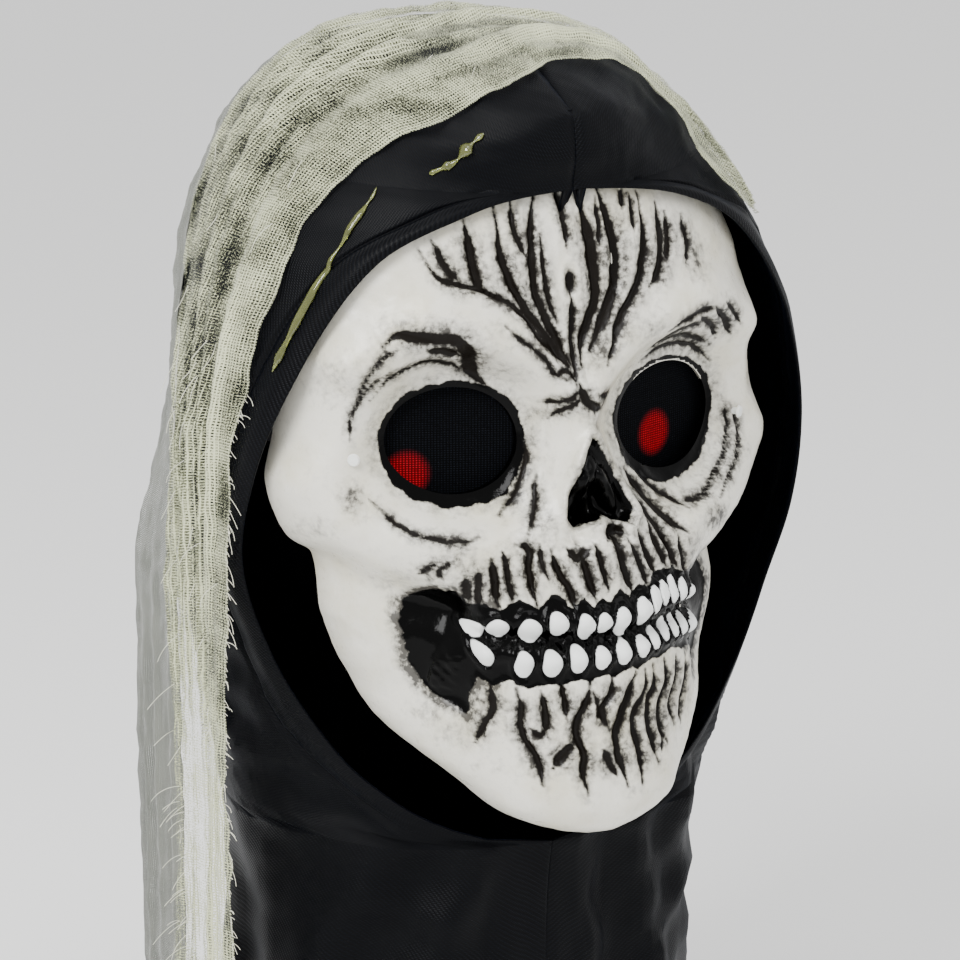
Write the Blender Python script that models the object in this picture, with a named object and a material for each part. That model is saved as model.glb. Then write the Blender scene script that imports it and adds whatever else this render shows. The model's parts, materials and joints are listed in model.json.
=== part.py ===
"""Hooded adult skull face mask with light-up eyes: moulded face shell, see-through eye patches,
elastic strap, battery case, two LEDs, satin hood in two panels and a draped gauze.

Sizes are millimetres and become metres in make(). +Z is up and the face looks along -Y.
Right and left are the wearer's. z = 0 is the height of the eye centres."""

import math

import bmesh
import bpy
import numpy as np
from mathutils import Matrix, Vector
from mathutils.bvhtree import BVHTree

MM = 0.001
FIT = 0.4  # gap left between pieces that touch

# Face shell
FACE_FRONT = -112.0  # y of the nose root
FACE_WALL = 2.4
FACE_COLUMNS = 38
FACE_ROWS = 38
EYE_SPACING = 93.0
EYE_Z = 4.2
EYE_HALF_WIDTH = 24.4
EYE_HALF_HEIGHT = 20.8
SOCKET_DEPTH = 13.0
EYE_RIM = 3.4
EYE_OUTER_BACK = 0.36  # how far the eye patch falls back per millimetre outwards
PATCH_MARGIN = 4.0
PATCH_THICKNESS = 0.6

# Strap and its pins
PIN_SPREAD = 164.0
PIN_Z = -1.0
PIN_SHANK_R = 1.4
PIN_HEAD_R = 2.6
PIN_HEAD_RISE = 1.1
PIN_HOLE_PLAY = 0.4
WASHER_R = 3.6
WASHER_THICKNESS = 1.0
STRAP_WIDTH = 18.0
STRAP_THICKNESS = 1.1
STRAP_SIDE_X = 86.0
STRAP_BACK_Y = 97.0

# Lights and their leads
LED_SPREAD = 107.0
LED_Y = -71.5
LED_Z = -13.0
LED_R = 2.5
LED_LENGTH = 8.6
SLEEVE_WALL = 0.9
STAY_WIDTH = 6.0
STAY_THICKNESS = 2.0
STAY_FOOT_Z = -47.0
LEAD_R = 0.8

# Battery case, in its own axes: y runs from the face towards the head
CASE_CENTRE_Z = 82.0
CASE_TILT = 25.0
CASE_WIDTH = 54.0
CASE_HEIGHT = 27.0
CASE_DEPTH = 8.0
CASE_WALL = 1.5
COVER_THICKNESS = 1.5
CELL_R = 10.0
CELL_THICKNESS = 3.2
CELL_Z = -1.5
BOARD_THICKNESS = 1.0
CONTACT_THICKNESS = 0.4
BOSS_R = 2.6
SCREW_R = 0.95
SCREW_HEAD_R = 2.2
SCREW_HEAD_RISE = 1.3
BUTTON_R = 2.0
BUTTON_FLANGE = 0.6
BUTTON_PROUD = 2.2
BUTTON_TRAVEL = 1.2
SWITCH_SIDE = 4.6

# Hood, gauze, glue and label
HOOD_THICKNESS = 1.2
HOOD_BOTTOM = -335.0
SEAM_GAP = 0.5
HEM_WIDTH = 18.0
HEM_THICKNESS = 0.9
HEM_GAP = 0.9
HOOD_COLUMNS = 18
HOOD_ROWS = 27
HOOD_LEFT_FULLNESS = 1.07
GAUZE_THICKNESS = 0.9
GAUZE_PROUD = 3.0
GAUZE_TAIL_Z = -300.0
VEIL_TAIL_Z = -285.0
GLUE_R = 1.5
LABEL_SIZE = (9.0, 0.5, 6.0)

# Face shell stations from the top edge to the chin: position, middle z, middle depth behind
# the nose root, rim x, rim z, rim depth, roundness
FACE_STATIONS = (
    (0.00, 128, 45, 30, 121, 58, 2.00),
    (0.08, 113, 20, 60, 106, 60, 2.00),
    (0.18, 92, 8, 85, 84, 60, 2.10),
    (0.30, 62, 2, 98, 54, 60, 2.10),
    (0.42, 30, 0, 102, 20, 58, 1.95),
    (0.52, 0, -5, 104, -8, 57, 1.80),
    (0.61, -28, -14, 100, -34, 57, 1.70),
    (0.70, -56, -24, 87, -62, 58, 1.75),
    (0.79, -84, -27, 79, -86, 54, 1.80),
    (0.87, -110, -28, 68, -110, 42, 1.90),
    (0.93, -131, -28, 50, -128, 20, 2.10),
    (0.97, -145, -24, 32, -143, 10, 2.15),
    (1.00, -153, -9, 15, -151, 14, 2.00),
)

# Raised and sunk bands of the face: path as (x, z), half-width, height
FACE_BANDS = (
    (((5, 25), (28, 42), (58, 51), (84, 38)), 10, 6.0),
    (((0, 18), (1, -8)), 7, 4.0),
    (((2, -10), (3, -34)), 14, 4.0),
    (((50, -36), (76, -31), (96, -16)), 12, 5.0),
    (((84, 32), (87, 6), (96, -8)), 8, 3.0),
    (((60, -60), (82, -54), (92, -48)), 9, -7.0),
    (((0, -62), (24, -62), (44, -60)), 4, 2.5),
    (((0, -77), (24, -77), (44, -74)), 4, 2.5),
    (((0, -69.5), (26, -69.5), (50, -67)), 3, -2.5),
    (((60, -66), (60, -92)), 10, -5.0),
    (((0, -140), (26, -134)), 11, 3.5),
    (((5, -18), (8, -30)), 5, -7.0),
)

# Hood rings from the crown seam down: position, side z, half-width, y of the widest point,
# front z, front y on the right, front y on the left, back z, back y
HOOD_RINGS = (
    (0.00, 152, 0.5, -20, 131, -103, -103, 140, 62),
    (0.07, 146, 45, -18, 127, -107, -107, 127, 87),
    (0.14, 129, 74, -16, 113, -109, -109, 107, 101),
    (0.21, 105, 95, -18, 100, -107, -107, 79, 108),
    (0.28, 70, 112, -22, 80, -115, -118, 42, 110),
    (0.36, 25, 120, -25, 30, -128, -140, 2, 108),
    (0.44, -12, 122, -26, -10, -134, -160, -34, 104),
    (0.52, -48, 120, -22, -50, -134, -158, -66, 99),
    (0.60, -84, 112, -14, -95, -124, -140, -96, 96),
    (0.68, -120, 103, -5, -132, -108, -112, -128, 95),
    (0.76, -160, 96, 2, -166, -91, -91, -163, 95),
    (0.85, -215, 94, 5, -217, -86, -86, -216, 96),
    (1.00, -335, 101, 6, -335, -93, -93, -335, 103),
)

# y of the hood's face edge at each ring that is open, right side then left side
HOOD_EDGE = (
    (0.21, -107, -107),
    (0.225, -104, -104),
    (0.25, -100, -98),
    (0.28, -91, -89),
    (0.36, -75, -75),
    (0.44, -62, -72),
    (0.52, -52, -67),
    (0.60, -54, -62),
    (0.68, -66, -72),
    (0.74, -82, -84),
    (0.76, -90, -90),
)


def clear_scene():
    for item in list(bpy.data.objects):
        bpy.data.objects.remove(item, do_unlink=True)


def linear(hex_colour):
    values = [int(hex_colour[i : i + 2], 16) / 255 for i in (1, 3, 5)]
    return [v / 12.92 if v <= 0.04045 else ((v + 0.055) / 1.055) ** 2.4 for v in values]


def paint(name, hex_colour, roughness, metallic=0.0):
    material = bpy.data.materials.new(name)
    material.use_nodes = True
    shader = material.node_tree.nodes["Principled BSDF"]
    shader.inputs["Base Color"].default_value = (*linear(hex_colour), 1.0)
    shader.inputs["Roughness"].default_value = roughness
    shader.inputs["Metallic"].default_value = metallic
    return material


def make(name, points, faces, material, origin=(0, 0, 0), matrix=None):
    """One closed object from points in millimetres, its origin on the given point."""
    if matrix is not None:
        points = [matrix @ Vector(p) for p in points]
    origin = Vector(origin)
    mesh = bpy.data.meshes.new(name)
    mesh.from_pydata([(Vector(p) - origin) * MM for p in points], [], faces)
    mesh.shade_smooth()
    mesh.set_sharp_from_angle(angle=math.radians(35))
    work = bmesh.new()
    work.from_mesh(mesh)
    bmesh.ops.recalc_face_normals(work, faces=work.faces)
    if work.calc_volume(signed=True) < 0:
        bmesh.ops.reverse_faces(work, faces=work.faces)
    work.to_mesh(mesh)
    work.free()
    item = bpy.data.objects.new(name, mesh)
    item.location = origin * MM
    bpy.context.collection.objects.link(item)
    if material is not None:
        mesh.materials.append(material)
    return item


def cutter(name, points, faces, matrix=None):
    item = make(name, points, faces, None, matrix=matrix)
    item.hide_render = True
    item.display_type = "WIRE"
    return item


def boolean(item, other, operation="DIFFERENCE"):
    modifier = item.modifiers.new(other.name, "BOOLEAN")
    modifier.operation = operation
    modifier.solver = "EXACT"
    modifier.object = other


def box(low, high):
    points = [(x, y, z) for x in (low[0], high[0]) for y in (low[1], high[1]) for z in (low[2], high[2])]
    faces = [(0, 1, 3, 2), (4, 6, 7, 5), (0, 4, 5, 1), (2, 3, 7, 6), (0, 2, 6, 4), (1, 5, 7, 3)]
    return points, faces


def extruded(outline, low, high, place):
    """A prism of a 2-D outline between two heights; place turns (u, v, w) into a point."""
    count = len(outline)
    points = [place(u, v, w) for w in (low, high) for u, v in outline]
    faces = [tuple(range(count)), tuple(range(2 * count - 1, count - 1, -1))]
    faces += [(i, (i + 1) % count, (i + 1) % count + count, i + count) for i in range(count)]
    return points, faces


def ellipse(half_width, half_height, count=32, centre=(0, 0)):
    turns = [2 * math.pi * k / count for k in range(count)]
    return [(centre[0] + half_width * math.cos(a), centre[1] + half_height * math.sin(a)) for a in turns]


def turned(profile, steps, closed):
    """A profile of (radius, height) spun about Z; a closed one makes a ring."""
    points = []
    rings = []
    for radius, height in profile:
        if radius < 1e-6:
            rings.append([len(points)] * steps)
            points.append((0, 0, height))
            continue
        rings.append(list(range(len(points), len(points) + steps)))
        for k in range(steps):
            angle = 2 * math.pi * k / steps
            points.append((radius * math.cos(angle), radius * math.sin(angle), height))
    pairs = list(zip(rings, rings[1:]))
    if closed:
        pairs.append((rings[-1], rings[0]))
    faces = []
    for low, high in pairs:
        for k in range(steps):
            loop = [low[k], low[(k + 1) % steps], high[(k + 1) % steps], high[k]]
            face = tuple(dict.fromkeys(loop))
            if len(face) > 2:
                faces.append(face)
    return points, faces


def along(direction, place):
    """A matrix that turns +Z onto a direction and moves the origin to a place."""
    turn = Vector((0, 0, 1)).rotation_difference(Vector(direction)).to_matrix().to_4x4()
    return Matrix.Translation(Vector(place)) @ turn


def swept(path, section):
    """A closed sweep of section(point, tangent) loops along a path."""
    path = [Vector(p) for p in path]
    points = []
    for k, point in enumerate(path):
        tangent = (path[min(k + 1, len(path) - 1)] - path[max(k - 1, 0)]).normalized()
        points += section(point, tangent)
    count = len(points) // len(path)
    faces = [tuple(range(count)), tuple(range(len(points) - 1, len(points) - count - 1, -1))]
    for k in range(len(path) - 1):
        base = k * count
        for i in range(count):
            j = (i + 1) % count
            faces.append((base + i, base + count + i, base + count + j, base + j))
    return points, faces


def round_section(radius, sides=8):
    def section(point, tangent):
        side = tangent.cross(Vector((0.31, 0.17, 0.94))).normalized()
        up = side.cross(tangent)
        turns = [2 * math.pi * k / sides for k in range(sides)]
        return [point + radius * (math.cos(a) * side + math.sin(a) * up) for a in turns]

    return section


def eased(table, where):
    """Values of a table at the given positions, on a smooth curve through its rows."""
    table = np.array(table, float)
    at, values = table[:, 0], table[:, 1:]
    slopes = np.empty_like(values)
    for k in range(len(at)):
        low, high = max(k - 1, 0), min(k + 1, len(at) - 1)
        slopes[k] = (values[high] - values[low]) / (at[high] - at[low])
    where = np.clip(np.asarray(where, float), at[0], at[-1])
    i = np.clip(np.searchsorted(at, where) - 1, 0, len(at) - 2)
    step = (at[i + 1] - at[i])[..., None]
    u = (where - at[i])[..., None] / step
    start = (2 * u**3 - 3 * u**2 + 1) * values[i] + (u**3 - 2 * u**2 + u) * step * slopes[i]
    end = (3 * u**2 - 2 * u**3) * values[i + 1] + (u**3 - u**2) * step * slopes[i + 1]
    return np.moveaxis(start + end, -1, 0)


def normals_of(grid):
    across = np.gradient(grid, axis=1)
    down = np.gradient(grid, axis=0)
    normal = np.cross(across, down)
    return normal / np.linalg.norm(normal, axis=2, keepdims=True)


def shell(outer, inner):
    """Points and faces of a closed sheet between two matching grids."""
    rows, columns = outer.shape[:2]
    points = np.concatenate([outer.reshape(-1, 3), inner.reshape(-1, 3)])
    index = np.arange(rows * columns).reshape(rows, columns)
    under = index + rows * columns
    faces = []
    for r in range(rows - 1):
        for c in range(columns - 1):
            faces.append((index[r, c], index[r, c + 1], index[r + 1, c + 1], index[r + 1, c]))
            faces.append((under[r, c], under[r + 1, c], under[r + 1, c + 1], under[r, c + 1]))
    edge = [(0, c) for c in range(columns)] + [(r, columns - 1) for r in range(1, rows)]
    edge += [(rows - 1, c) for c in range(columns - 2, -1, -1)] + [(r, 0) for r in range(rows - 2, 0, -1)]
    for a, b in zip(edge, edge[1:] + edge[:1]):
        faces.append((index[b], index[a], under[a], under[b]))
    return [tuple(p) for p in points], [tuple(int(v) for v in face) for face in faces]


def surface_tree(grid):
    rows, columns = grid.shape[:2]
    points = [Vector(p) for p in grid.reshape(-1, 3)]
    faces = []
    for r in range(rows - 1):
        for c in range(columns - 1):
            k = r * columns + c
            faces.append((k, k + 1, k + columns + 1, k + columns))
    return BVHTree.FromPolygons(points, faces)


# ---------------------------------------------------------------- face shell


def bowl(across, down):
    """The face's plain shell, before brows, sockets and teeth."""
    mid_z, mid_depth, rim_x, rim_z, rim_depth, power = eased(FACE_STATIONS, down)
    angle = across * math.pi / 2
    depth = rim_depth - mid_depth
    reach = np.abs(np.sin(angle) / rim_x) ** power + np.abs(np.cos(angle) / depth) ** power
    reach = reach ** (-1 / power)
    x = reach * np.sin(angle)
    y = FACE_FRONT + rim_depth - reach * np.cos(angle)
    return np.stack([x, y, mid_z + (rim_z - mid_z) * (x / rim_x) ** 2], -1)


def band_distance(x, z, path):
    best = np.full(x.shape, 1e9)
    for (ax, az), (bx, bz) in zip(path, path[1:]):
        length = (bx - ax) ** 2 + (bz - az) ** 2
        u = np.clip(((x - ax) * (bx - ax) + (z - az) * (bz - az)) / length, 0, 1)
        best = np.minimum(best, np.hypot(x - ax - u * (bx - ax), z - az - u * (bz - az)))
    return best


def relief(x, z):
    """How far the sculpted face stands out of the plain shell."""
    x = np.abs(x)
    height = np.zeros(x.shape)
    for path, half_width, rise in FACE_BANDS:
        height += rise * np.exp(-((band_distance(x, z, path) / half_width) ** 2))
    z = z - EYE_Z
    socket = np.hypot((x - EYE_SPACING / 2) / (EYE_HALF_WIDTH + 9), z / (EYE_HALF_HEIGHT + 9))
    height -= SOCKET_DEPTH / (1 + np.exp((socket - 1.05) * 9))
    rim_x, rim_z = EYE_HALF_WIDTH + EYE_RIM / 2, EYE_HALF_HEIGHT + EYE_RIM / 2
    rim = (np.hypot((x - EYE_SPACING / 2) / rim_x, z / rim_z) - 1) * rim_z
    return height + 1.5 * np.exp(-((rim / EYE_RIM) ** 2))


def face_grids():
    across, down = np.meshgrid(np.linspace(-1, 1, FACE_COLUMNS + 1), np.linspace(0, 1, FACE_ROWS + 1))
    plain = bowl(across, down)
    out = normals_of(plain)
    if out[FACE_ROWS // 2, FACE_COLUMNS // 2, 1] > 0:
        out = -out
    outer = plain + out * relief(plain[..., 0], plain[..., 2])[..., None]
    return outer, outer - FACE_WALL * out


def side_hit(tree, point, direction):
    hit = tree.ray_cast(Vector(point), Vector(direction))[0]
    return hit if hit is not None else Vector(point)


def make_face(material):
    outer, inner = face_grids()
    points, faces = shell(outer, inner)
    face = make("skull_shell", points, faces, material)
    for side, name in ((-1, "right"), (1, "left")):
        hole = ellipse(EYE_HALF_WIDTH, EYE_HALF_HEIGHT, 40, (side * EYE_SPACING / 2, EYE_Z))
        cut = extruded(hole, FACE_FRONT - 40, -50, lambda u, v, w: (u, w, v))
        boolean(face, cutter("eye_hole_" + name, *cut))
    return face, surface_tree(outer), surface_tree(inner)


def make_eye_patch(name, side, inside, material):
    """A flat oval of knit behind the eye hole, clear of the back of the wall."""
    centre = side * EYE_SPACING / 2
    half_x, half_z = EYE_HALF_WIDTH + PATCH_MARGIN, EYE_HALF_HEIGHT + PATCH_MARGIN
    back = -1e9
    for share in np.linspace(0.7, 1.05, 8):
        for u, v in ellipse(half_x * share, half_z * share, 48):
            wall = side_hit(inside, (centre + u, -45, EYE_Z + v), (0, -1, 0)).y
            back = max(back, wall - EYE_OUTER_BACK * side * u)
    back += FIT

    def place(u, v, w):
        return (centre + u, back + EYE_OUTER_BACK * side * u + w, EYE_Z + v)

    make(name, *extruded(ellipse(half_x, half_z, 36), 0, PATCH_THICKNESS, place), material)
    return back


# ---------------------------------------------------------------- strap


def pin_frame(side, inside, outside):
    """Pin direction, the outer wall point and the inner wall point at the temple."""
    x = side * PIN_SPREAD / 2
    direction = Vector((side * 0.60, -0.80, 0))
    start = side_hit(inside, (x, -30, PIN_Z), (0, -1, 0)) - direction * 8
    up, across = Vector((0, 0, 1)), direction.cross(Vector((0, 0, 1)))
    high, low = -1e9, 1e9
    for u, v in ellipse(PIN_HEAD_R, PIN_HEAD_R, 16):
        hit = side_hit(outside, start + across * u + up * v, direction)
        high = max(high, (hit - start).dot(direction))
    for share in (0.5, 1.0):
        for u, v in ellipse(WASHER_R * share, STRAP_WIDTH / 2 * share, 24):
            hit = side_hit(inside, start + across * u + up * v, direction)
            low = min(low, (hit - start).dot(direction))
    return direction, start + direction * (high + FIT), start + direction * (low - FIT)


def make_pin(name, side, face, inside, outside, materials):
    direction, seat, wall = pin_frame(side, inside, outside)
    stack = (seat - wall).length + STRAP_THICKNESS + WASHER_THICKNESS + 2 * FIT
    tail = -(stack + FIT + 1.0)
    clinch = PIN_SHANK_R + 0.8
    profile = [(0, tail), (clinch, tail), (clinch, tail + 0.9), (PIN_SHANK_R, tail + 0.9)]
    profile += [(PIN_SHANK_R, 0), (PIN_HEAD_R, 0), (PIN_HEAD_R * 0.8, PIN_HEAD_RISE * 0.75)]
    profile += [(0, PIN_HEAD_RISE)]
    make("strap_pin_" + name, *turned(profile, 16, False), materials["white"], matrix=along(direction, seat))
    bore = PIN_SHANK_R + PIN_HOLE_PLAY
    hole = extruded(ellipse(bore, bore, 20), -12, 8, lambda u, v, w: (u, v, w))
    boolean(face, cutter("pin_hole_" + name, *hole, matrix=along(direction, seat)))
    washer_at = wall - direction * (STRAP_THICKNESS + FIT + WASHER_THICKNESS)
    ring = [(bore, 0), (WASHER_R, 0), (WASHER_R, WASHER_THICKNESS), (bore, WASHER_THICKNESS)]
    place = along(direction, washer_at)
    make("strap_washer_" + name, *turned(ring, 20, True), materials["black"], matrix=place)
    return direction, wall


def smooth_path(points, steps):
    """A Catmull-Rom curve through points."""
    points = [Vector(p) for p in points]
    points = [2 * points[0] - points[1]] + points + [2 * points[-1] - points[-2]]
    curve = []
    for k in range(1, len(points) - 2):
        a, b, c, d = points[k - 1 : k + 3]
        for step in range(steps):
            u = step / steps
            bend, twist = 2 * a - 5 * b + 4 * c - d, 3 * b - a - 3 * c + d
            curve.append(0.5 * (2 * b + (c - a) * u + bend * u**2 + twist * u**3))
    curve.append(points[-2])
    return curve


def make_strap(pins, material):
    """Flat elastic from temple to temple round the back of the head."""
    (right, right_wall), (_, left_wall) = pins
    middle = [p - d * STRAP_THICKNESS / 2 for (d, _), p in zip(pins, (right_wall, left_wall))]
    back = Vector((-0.80, 0.60, 0))
    path = [middle[0] + back * WASHER_R * share for share in (-1.0, 0.0, 1.0)]
    path += [(-STRAP_SIDE_X, -58, PIN_Z), (-STRAP_SIDE_X, -28, PIN_Z)]
    path += [(-STRAP_SIDE_X + 1, 10, PIN_Z), (-STRAP_SIDE_X * 0.72, 66, PIN_Z)]
    path += [(-30, STRAP_BACK_Y - 6, PIN_Z), (0, STRAP_BACK_Y, PIN_Z)]
    path += [(-p[0], p[1], p[2]) for p in reversed(path[:-1])]
    curve = smooth_path(path, 6)

    def section(point, tangent):
        out = tangent.cross(Vector((0, 0, 1))).normalized() * STRAP_THICKNESS / 2
        up = Vector((0, 0, STRAP_WIDTH / 2))
        return [point - out - up, point + out - up, point + out + up, point - out + up]

    strap = make("elastic_strap", *swept(curve, section), material)
    bore = PIN_SHANK_R + PIN_HOLE_PLAY
    for number, (direction, wall) in enumerate(pins):
        hole = extruded(ellipse(bore, bore, 20), -6, 5, lambda u, v, w: (u, v, w))
        boolean(strap, cutter("strap_hole_%d" % number, *hole, matrix=along(direction, wall)))
    return strap


# ---------------------------------------------------------------- lights


def make_light(name, side, inside, case, materials):
    x = side * LED_SPREAD / 2
    forward = along((0, -1, 0), (x, LED_Y, LED_Z))
    tip = [(LED_R * math.cos(a), LED_R * math.sin(a)) for a in np.linspace(0, math.pi / 2, 6)]
    end, flange = -LED_LENGTH + LED_R, LED_R + 0.4
    profile = [(0, end), (flange, end), (flange, end + 1), (LED_R, end + 1)]
    profile += tip[:-1] + [(0, LED_R)]
    make("led_" + name, *turned(profile, 16, False), materials["led"], matrix=forward)
    bore, outside = flange + FIT, flange + FIT + SLEEVE_WALL
    foot = -LED_LENGTH + LED_R - FIT
    hole = LEAD_R + FIT
    cup = [(hole, foot - 1.2), (outside, foot - 1.2), (outside, foot + 5), (bore, foot + 5)]
    cup += [(bore, foot), (hole, foot)]
    make("led_sleeve_" + name, *turned(cup, 20, True), materials["black"], matrix=forward)
    make_stay(name, x, LED_Z - outside - FIT, inside, materials["black"])
    back = LED_Y - (foot - 1.2)
    ways = [(x, back - 1.0, LED_Z), (x, back + 5, LED_Z), (x * 0.94, back + 7, LED_Z + 12)]
    ways.append((x * 0.86, LED_Y, LED_Z + 36))
    for share, z in ((0.72, 44), (0.54, 57)):
        ways.append((x * share, side_hit(inside, (x * share, -30, z), (0, -1, 0)).y + 4, z))
    ways.append(case @ Vector((x * 0.42, CASE_DEPTH * 0.45, -CASE_HEIGHT / 2 - 3)))
    ways.append(case @ Vector((x * 0.40, CASE_DEPTH * 0.45, -CASE_HEIGHT / 2 + CASE_WALL / 2)))
    path = smooth_path(ways, 4)
    make("led_lead_" + name, *swept(path, round_section(LEAD_R, 6)), materials["lead"])


def make_stay(name, x, top, inside, material):
    """The bent tab that carries a light, bonded low on the cheek."""
    low, high = x - STAY_WIDTH / 2, x + STAY_WIDTH / 2
    spots = [(a, b) for a in (low, x, high) for b in (STAY_FOOT_Z, STAY_FOOT_Z - STAY_THICKNESS)]
    wall = max(side_hit(inside, (a, -30, b), (0, -1, 0)).y for a, b in spots) + 2 * FIT
    back = LED_Y + 4.0
    front = back - STAY_THICKNESS
    outline = [(wall, STAY_FOOT_Z - STAY_THICKNESS), (back, STAY_FOOT_Z - STAY_THICKNESS), (back, top)]
    outline += [(front, top), (front, STAY_FOOT_Z), (wall, STAY_FOOT_Z)]
    make("led_stay_" + name, *extruded(outline, low, high, lambda u, v, w: (w, u, v)), material)


# ---------------------------------------------------------------- battery case


def case_matrix(inside):
    """The case's place: its front face clear of the forehead, tilted to the slope."""
    turn = Matrix.Rotation(math.radians(-CASE_TILT), 4, "X")
    forward = turn @ Vector((0, -1, 0))
    room = 1e9
    for x in np.linspace(-CASE_WIDTH / 2, CASE_WIDTH / 2, 9):
        for z in np.linspace(-CASE_HEIGHT / 2, CASE_HEIGHT / 2, 7):
            start = Vector((0, -60, CASE_CENTRE_Z)) + turn @ Vector((x, 0, z))
            room = min(room, (side_hit(inside, start, forward) - start).length)
    place = Vector((0, -60, CASE_CENTRE_Z)) + forward * (room - 2 * FIT)
    return Matrix.Translation(place) @ turn


def rod(name, radius, low, high, x, z, matrix, steps=20):
    """A helper cylinder along the case's own y."""
    outline = ellipse(radius, radius, steps, (x, z))
    return cutter(name, *extruded(outline, low, high, lambda u, v, w: (u, w, v)), matrix=matrix)


def cell_places():
    right_end = CASE_WIDTH / 2 - CASE_WALL - 1.0
    first = right_end - CELL_R
    return first, first - 2 * CELL_R - 0.8


def make_case(case, materials):
    half_x, half_z = CASE_WIDTH / 2, CASE_HEIGHT / 2
    block = box((-half_x, 0, -half_z), (half_x, CASE_DEPTH, half_z))
    tray = make("battery_case", *block, materials["case"], matrix=case)
    low = (-half_x + CASE_WALL, CASE_WALL, -half_z + CASE_WALL)
    high = (half_x - CASE_WALL, CASE_DEPTH + 5, half_z - CASE_WALL)
    boolean(tray, cutter("case_hollow", *box(low, high), matrix=case))
    first, second = cell_places()
    boss_x, boss_z = (first + second) / 2, half_z - CASE_WALL - BOSS_R - 0.3
    boolean(tray, rod("case_boss", BOSS_R, CASE_WALL - 0.7, CASE_DEPTH, boss_x, boss_z, case), "UNION")
    boolean(tray, rod("case_pilot", SCREW_R + 0.3, CASE_WALL + 1, CASE_DEPTH + 5, boss_x, boss_z, case))
    round_hole = ellipse(BUTTON_R + 0.3, BUTTON_R + 0.3, 20)
    hole = extruded(round_hole, -half_x - 3, -half_x + CASE_WALL + 1, button_place)
    boolean(tray, cutter("case_button_hole", *hole, matrix=case))
    for side in (-1, 1):
        port = extruded(
            ellipse(LEAD_R + FIT, LEAD_R + FIT, 12, (side * LED_SPREAD / 2 * 0.40, CASE_DEPTH * 0.45)),
            -half_z - 3, -half_z + CASE_WALL + 1, lambda u, v, w: (u, v, w),
        )
        boolean(tray, cutter("case_port_%d" % side, *port, matrix=case))
    return boss_x, boss_z


def button_place(u, v, w):
    return (w, CASE_DEPTH * 0.58 + u, v)


def make_button(case, materials):
    half_x = CASE_WIDTH / 2
    inner = -half_x + CASE_WALL + FIT
    profile = [(0, inner + 1.0), (BUTTON_R + BUTTON_FLANGE, inner + 1.0), (BUTTON_R + BUTTON_FLANGE, inner)]
    profile += [(BUTTON_R, inner)]
    profile += [(BUTTON_R, -half_x - BUTTON_PROUD + 0.5), (BUTTON_R - 0.5, -half_x - BUTTON_PROUD)]
    profile += [(0, -half_x - BUTTON_PROUD)]
    spun, faces = turned([(r, h) for r, h in profile], 20, False)
    points = [(h, CASE_DEPTH * 0.58 + a, b) for a, b, h in spun]
    origin = case @ Vector((-half_x, CASE_DEPTH * 0.58, 0))
    make("power_button", points, faces, materials["button"], origin=origin, matrix=case)
    low = inner + 1.0 + BUTTON_TRAVEL + FIT
    size = SWITCH_SIDE / 2
    floor = CASE_WALL + BOARD_THICKNESS + 2 * FIT
    switch = box((low, floor, -size), (low + 2.6, CASE_DEPTH - 0.6, size))
    make("tact_switch", *switch, materials["switch"], matrix=case)


def make_power(case, boss_z, materials):
    """Board, contacts, two coin cells and the plate that bridges them."""
    half_x, half_z = CASE_WIDTH / 2, CASE_HEIGHT / 2
    board_y = CASE_WALL + FIT
    button_room = FIT + 1.0 + BUTTON_TRAVEL + FIT
    low = (-half_x + CASE_WALL + button_room, board_y, -half_z + CASE_WALL + 1.0)
    high = (half_x - CASE_WALL - 1.0, board_y + BOARD_THICKNESS, boss_z - BOSS_R - 0.6)
    make("circuit_board", *box(low, high), materials["board"], matrix=case)
    contact_y = board_y + BOARD_THICKNESS + 0.3
    cell_y = contact_y + CONTACT_THICKNESS + 0.3
    for number, x in enumerate(cell_places(), 1):
        strip = box((x - 2.5, contact_y, CELL_Z - 7), (x + 2.5, contact_y + CONTACT_THICKNESS, CELL_Z + 7))
        make("cell_contact_%d" % number, *strip, materials["metal"], matrix=case)
        edge = 0.4
        disc = [(0, 0), (CELL_R - 1.2, 0), (CELL_R, edge), (CELL_R, CELL_THICKNESS - edge)]
        disc += [(CELL_R - edge, CELL_THICKNESS), (0, CELL_THICKNESS)]
        spun, faces = turned(disc, 28, False)
        points = [(x + a, cell_y + h, CELL_Z + b) for a, b, h in spun]
        make("coin_cell_%d" % number, points, faces, materials["metal"], matrix=case)
    first, second = cell_places()
    top = cell_y + CELL_THICKNESS + 0.3
    bridge = box((second - 4, top, CELL_Z - 3), (first + 4, top + CONTACT_THICKNESS, CELL_Z + 3))
    make("cell_bridge", *bridge, materials["metal"], matrix=case)
    return top + CONTACT_THICKNESS


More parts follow.
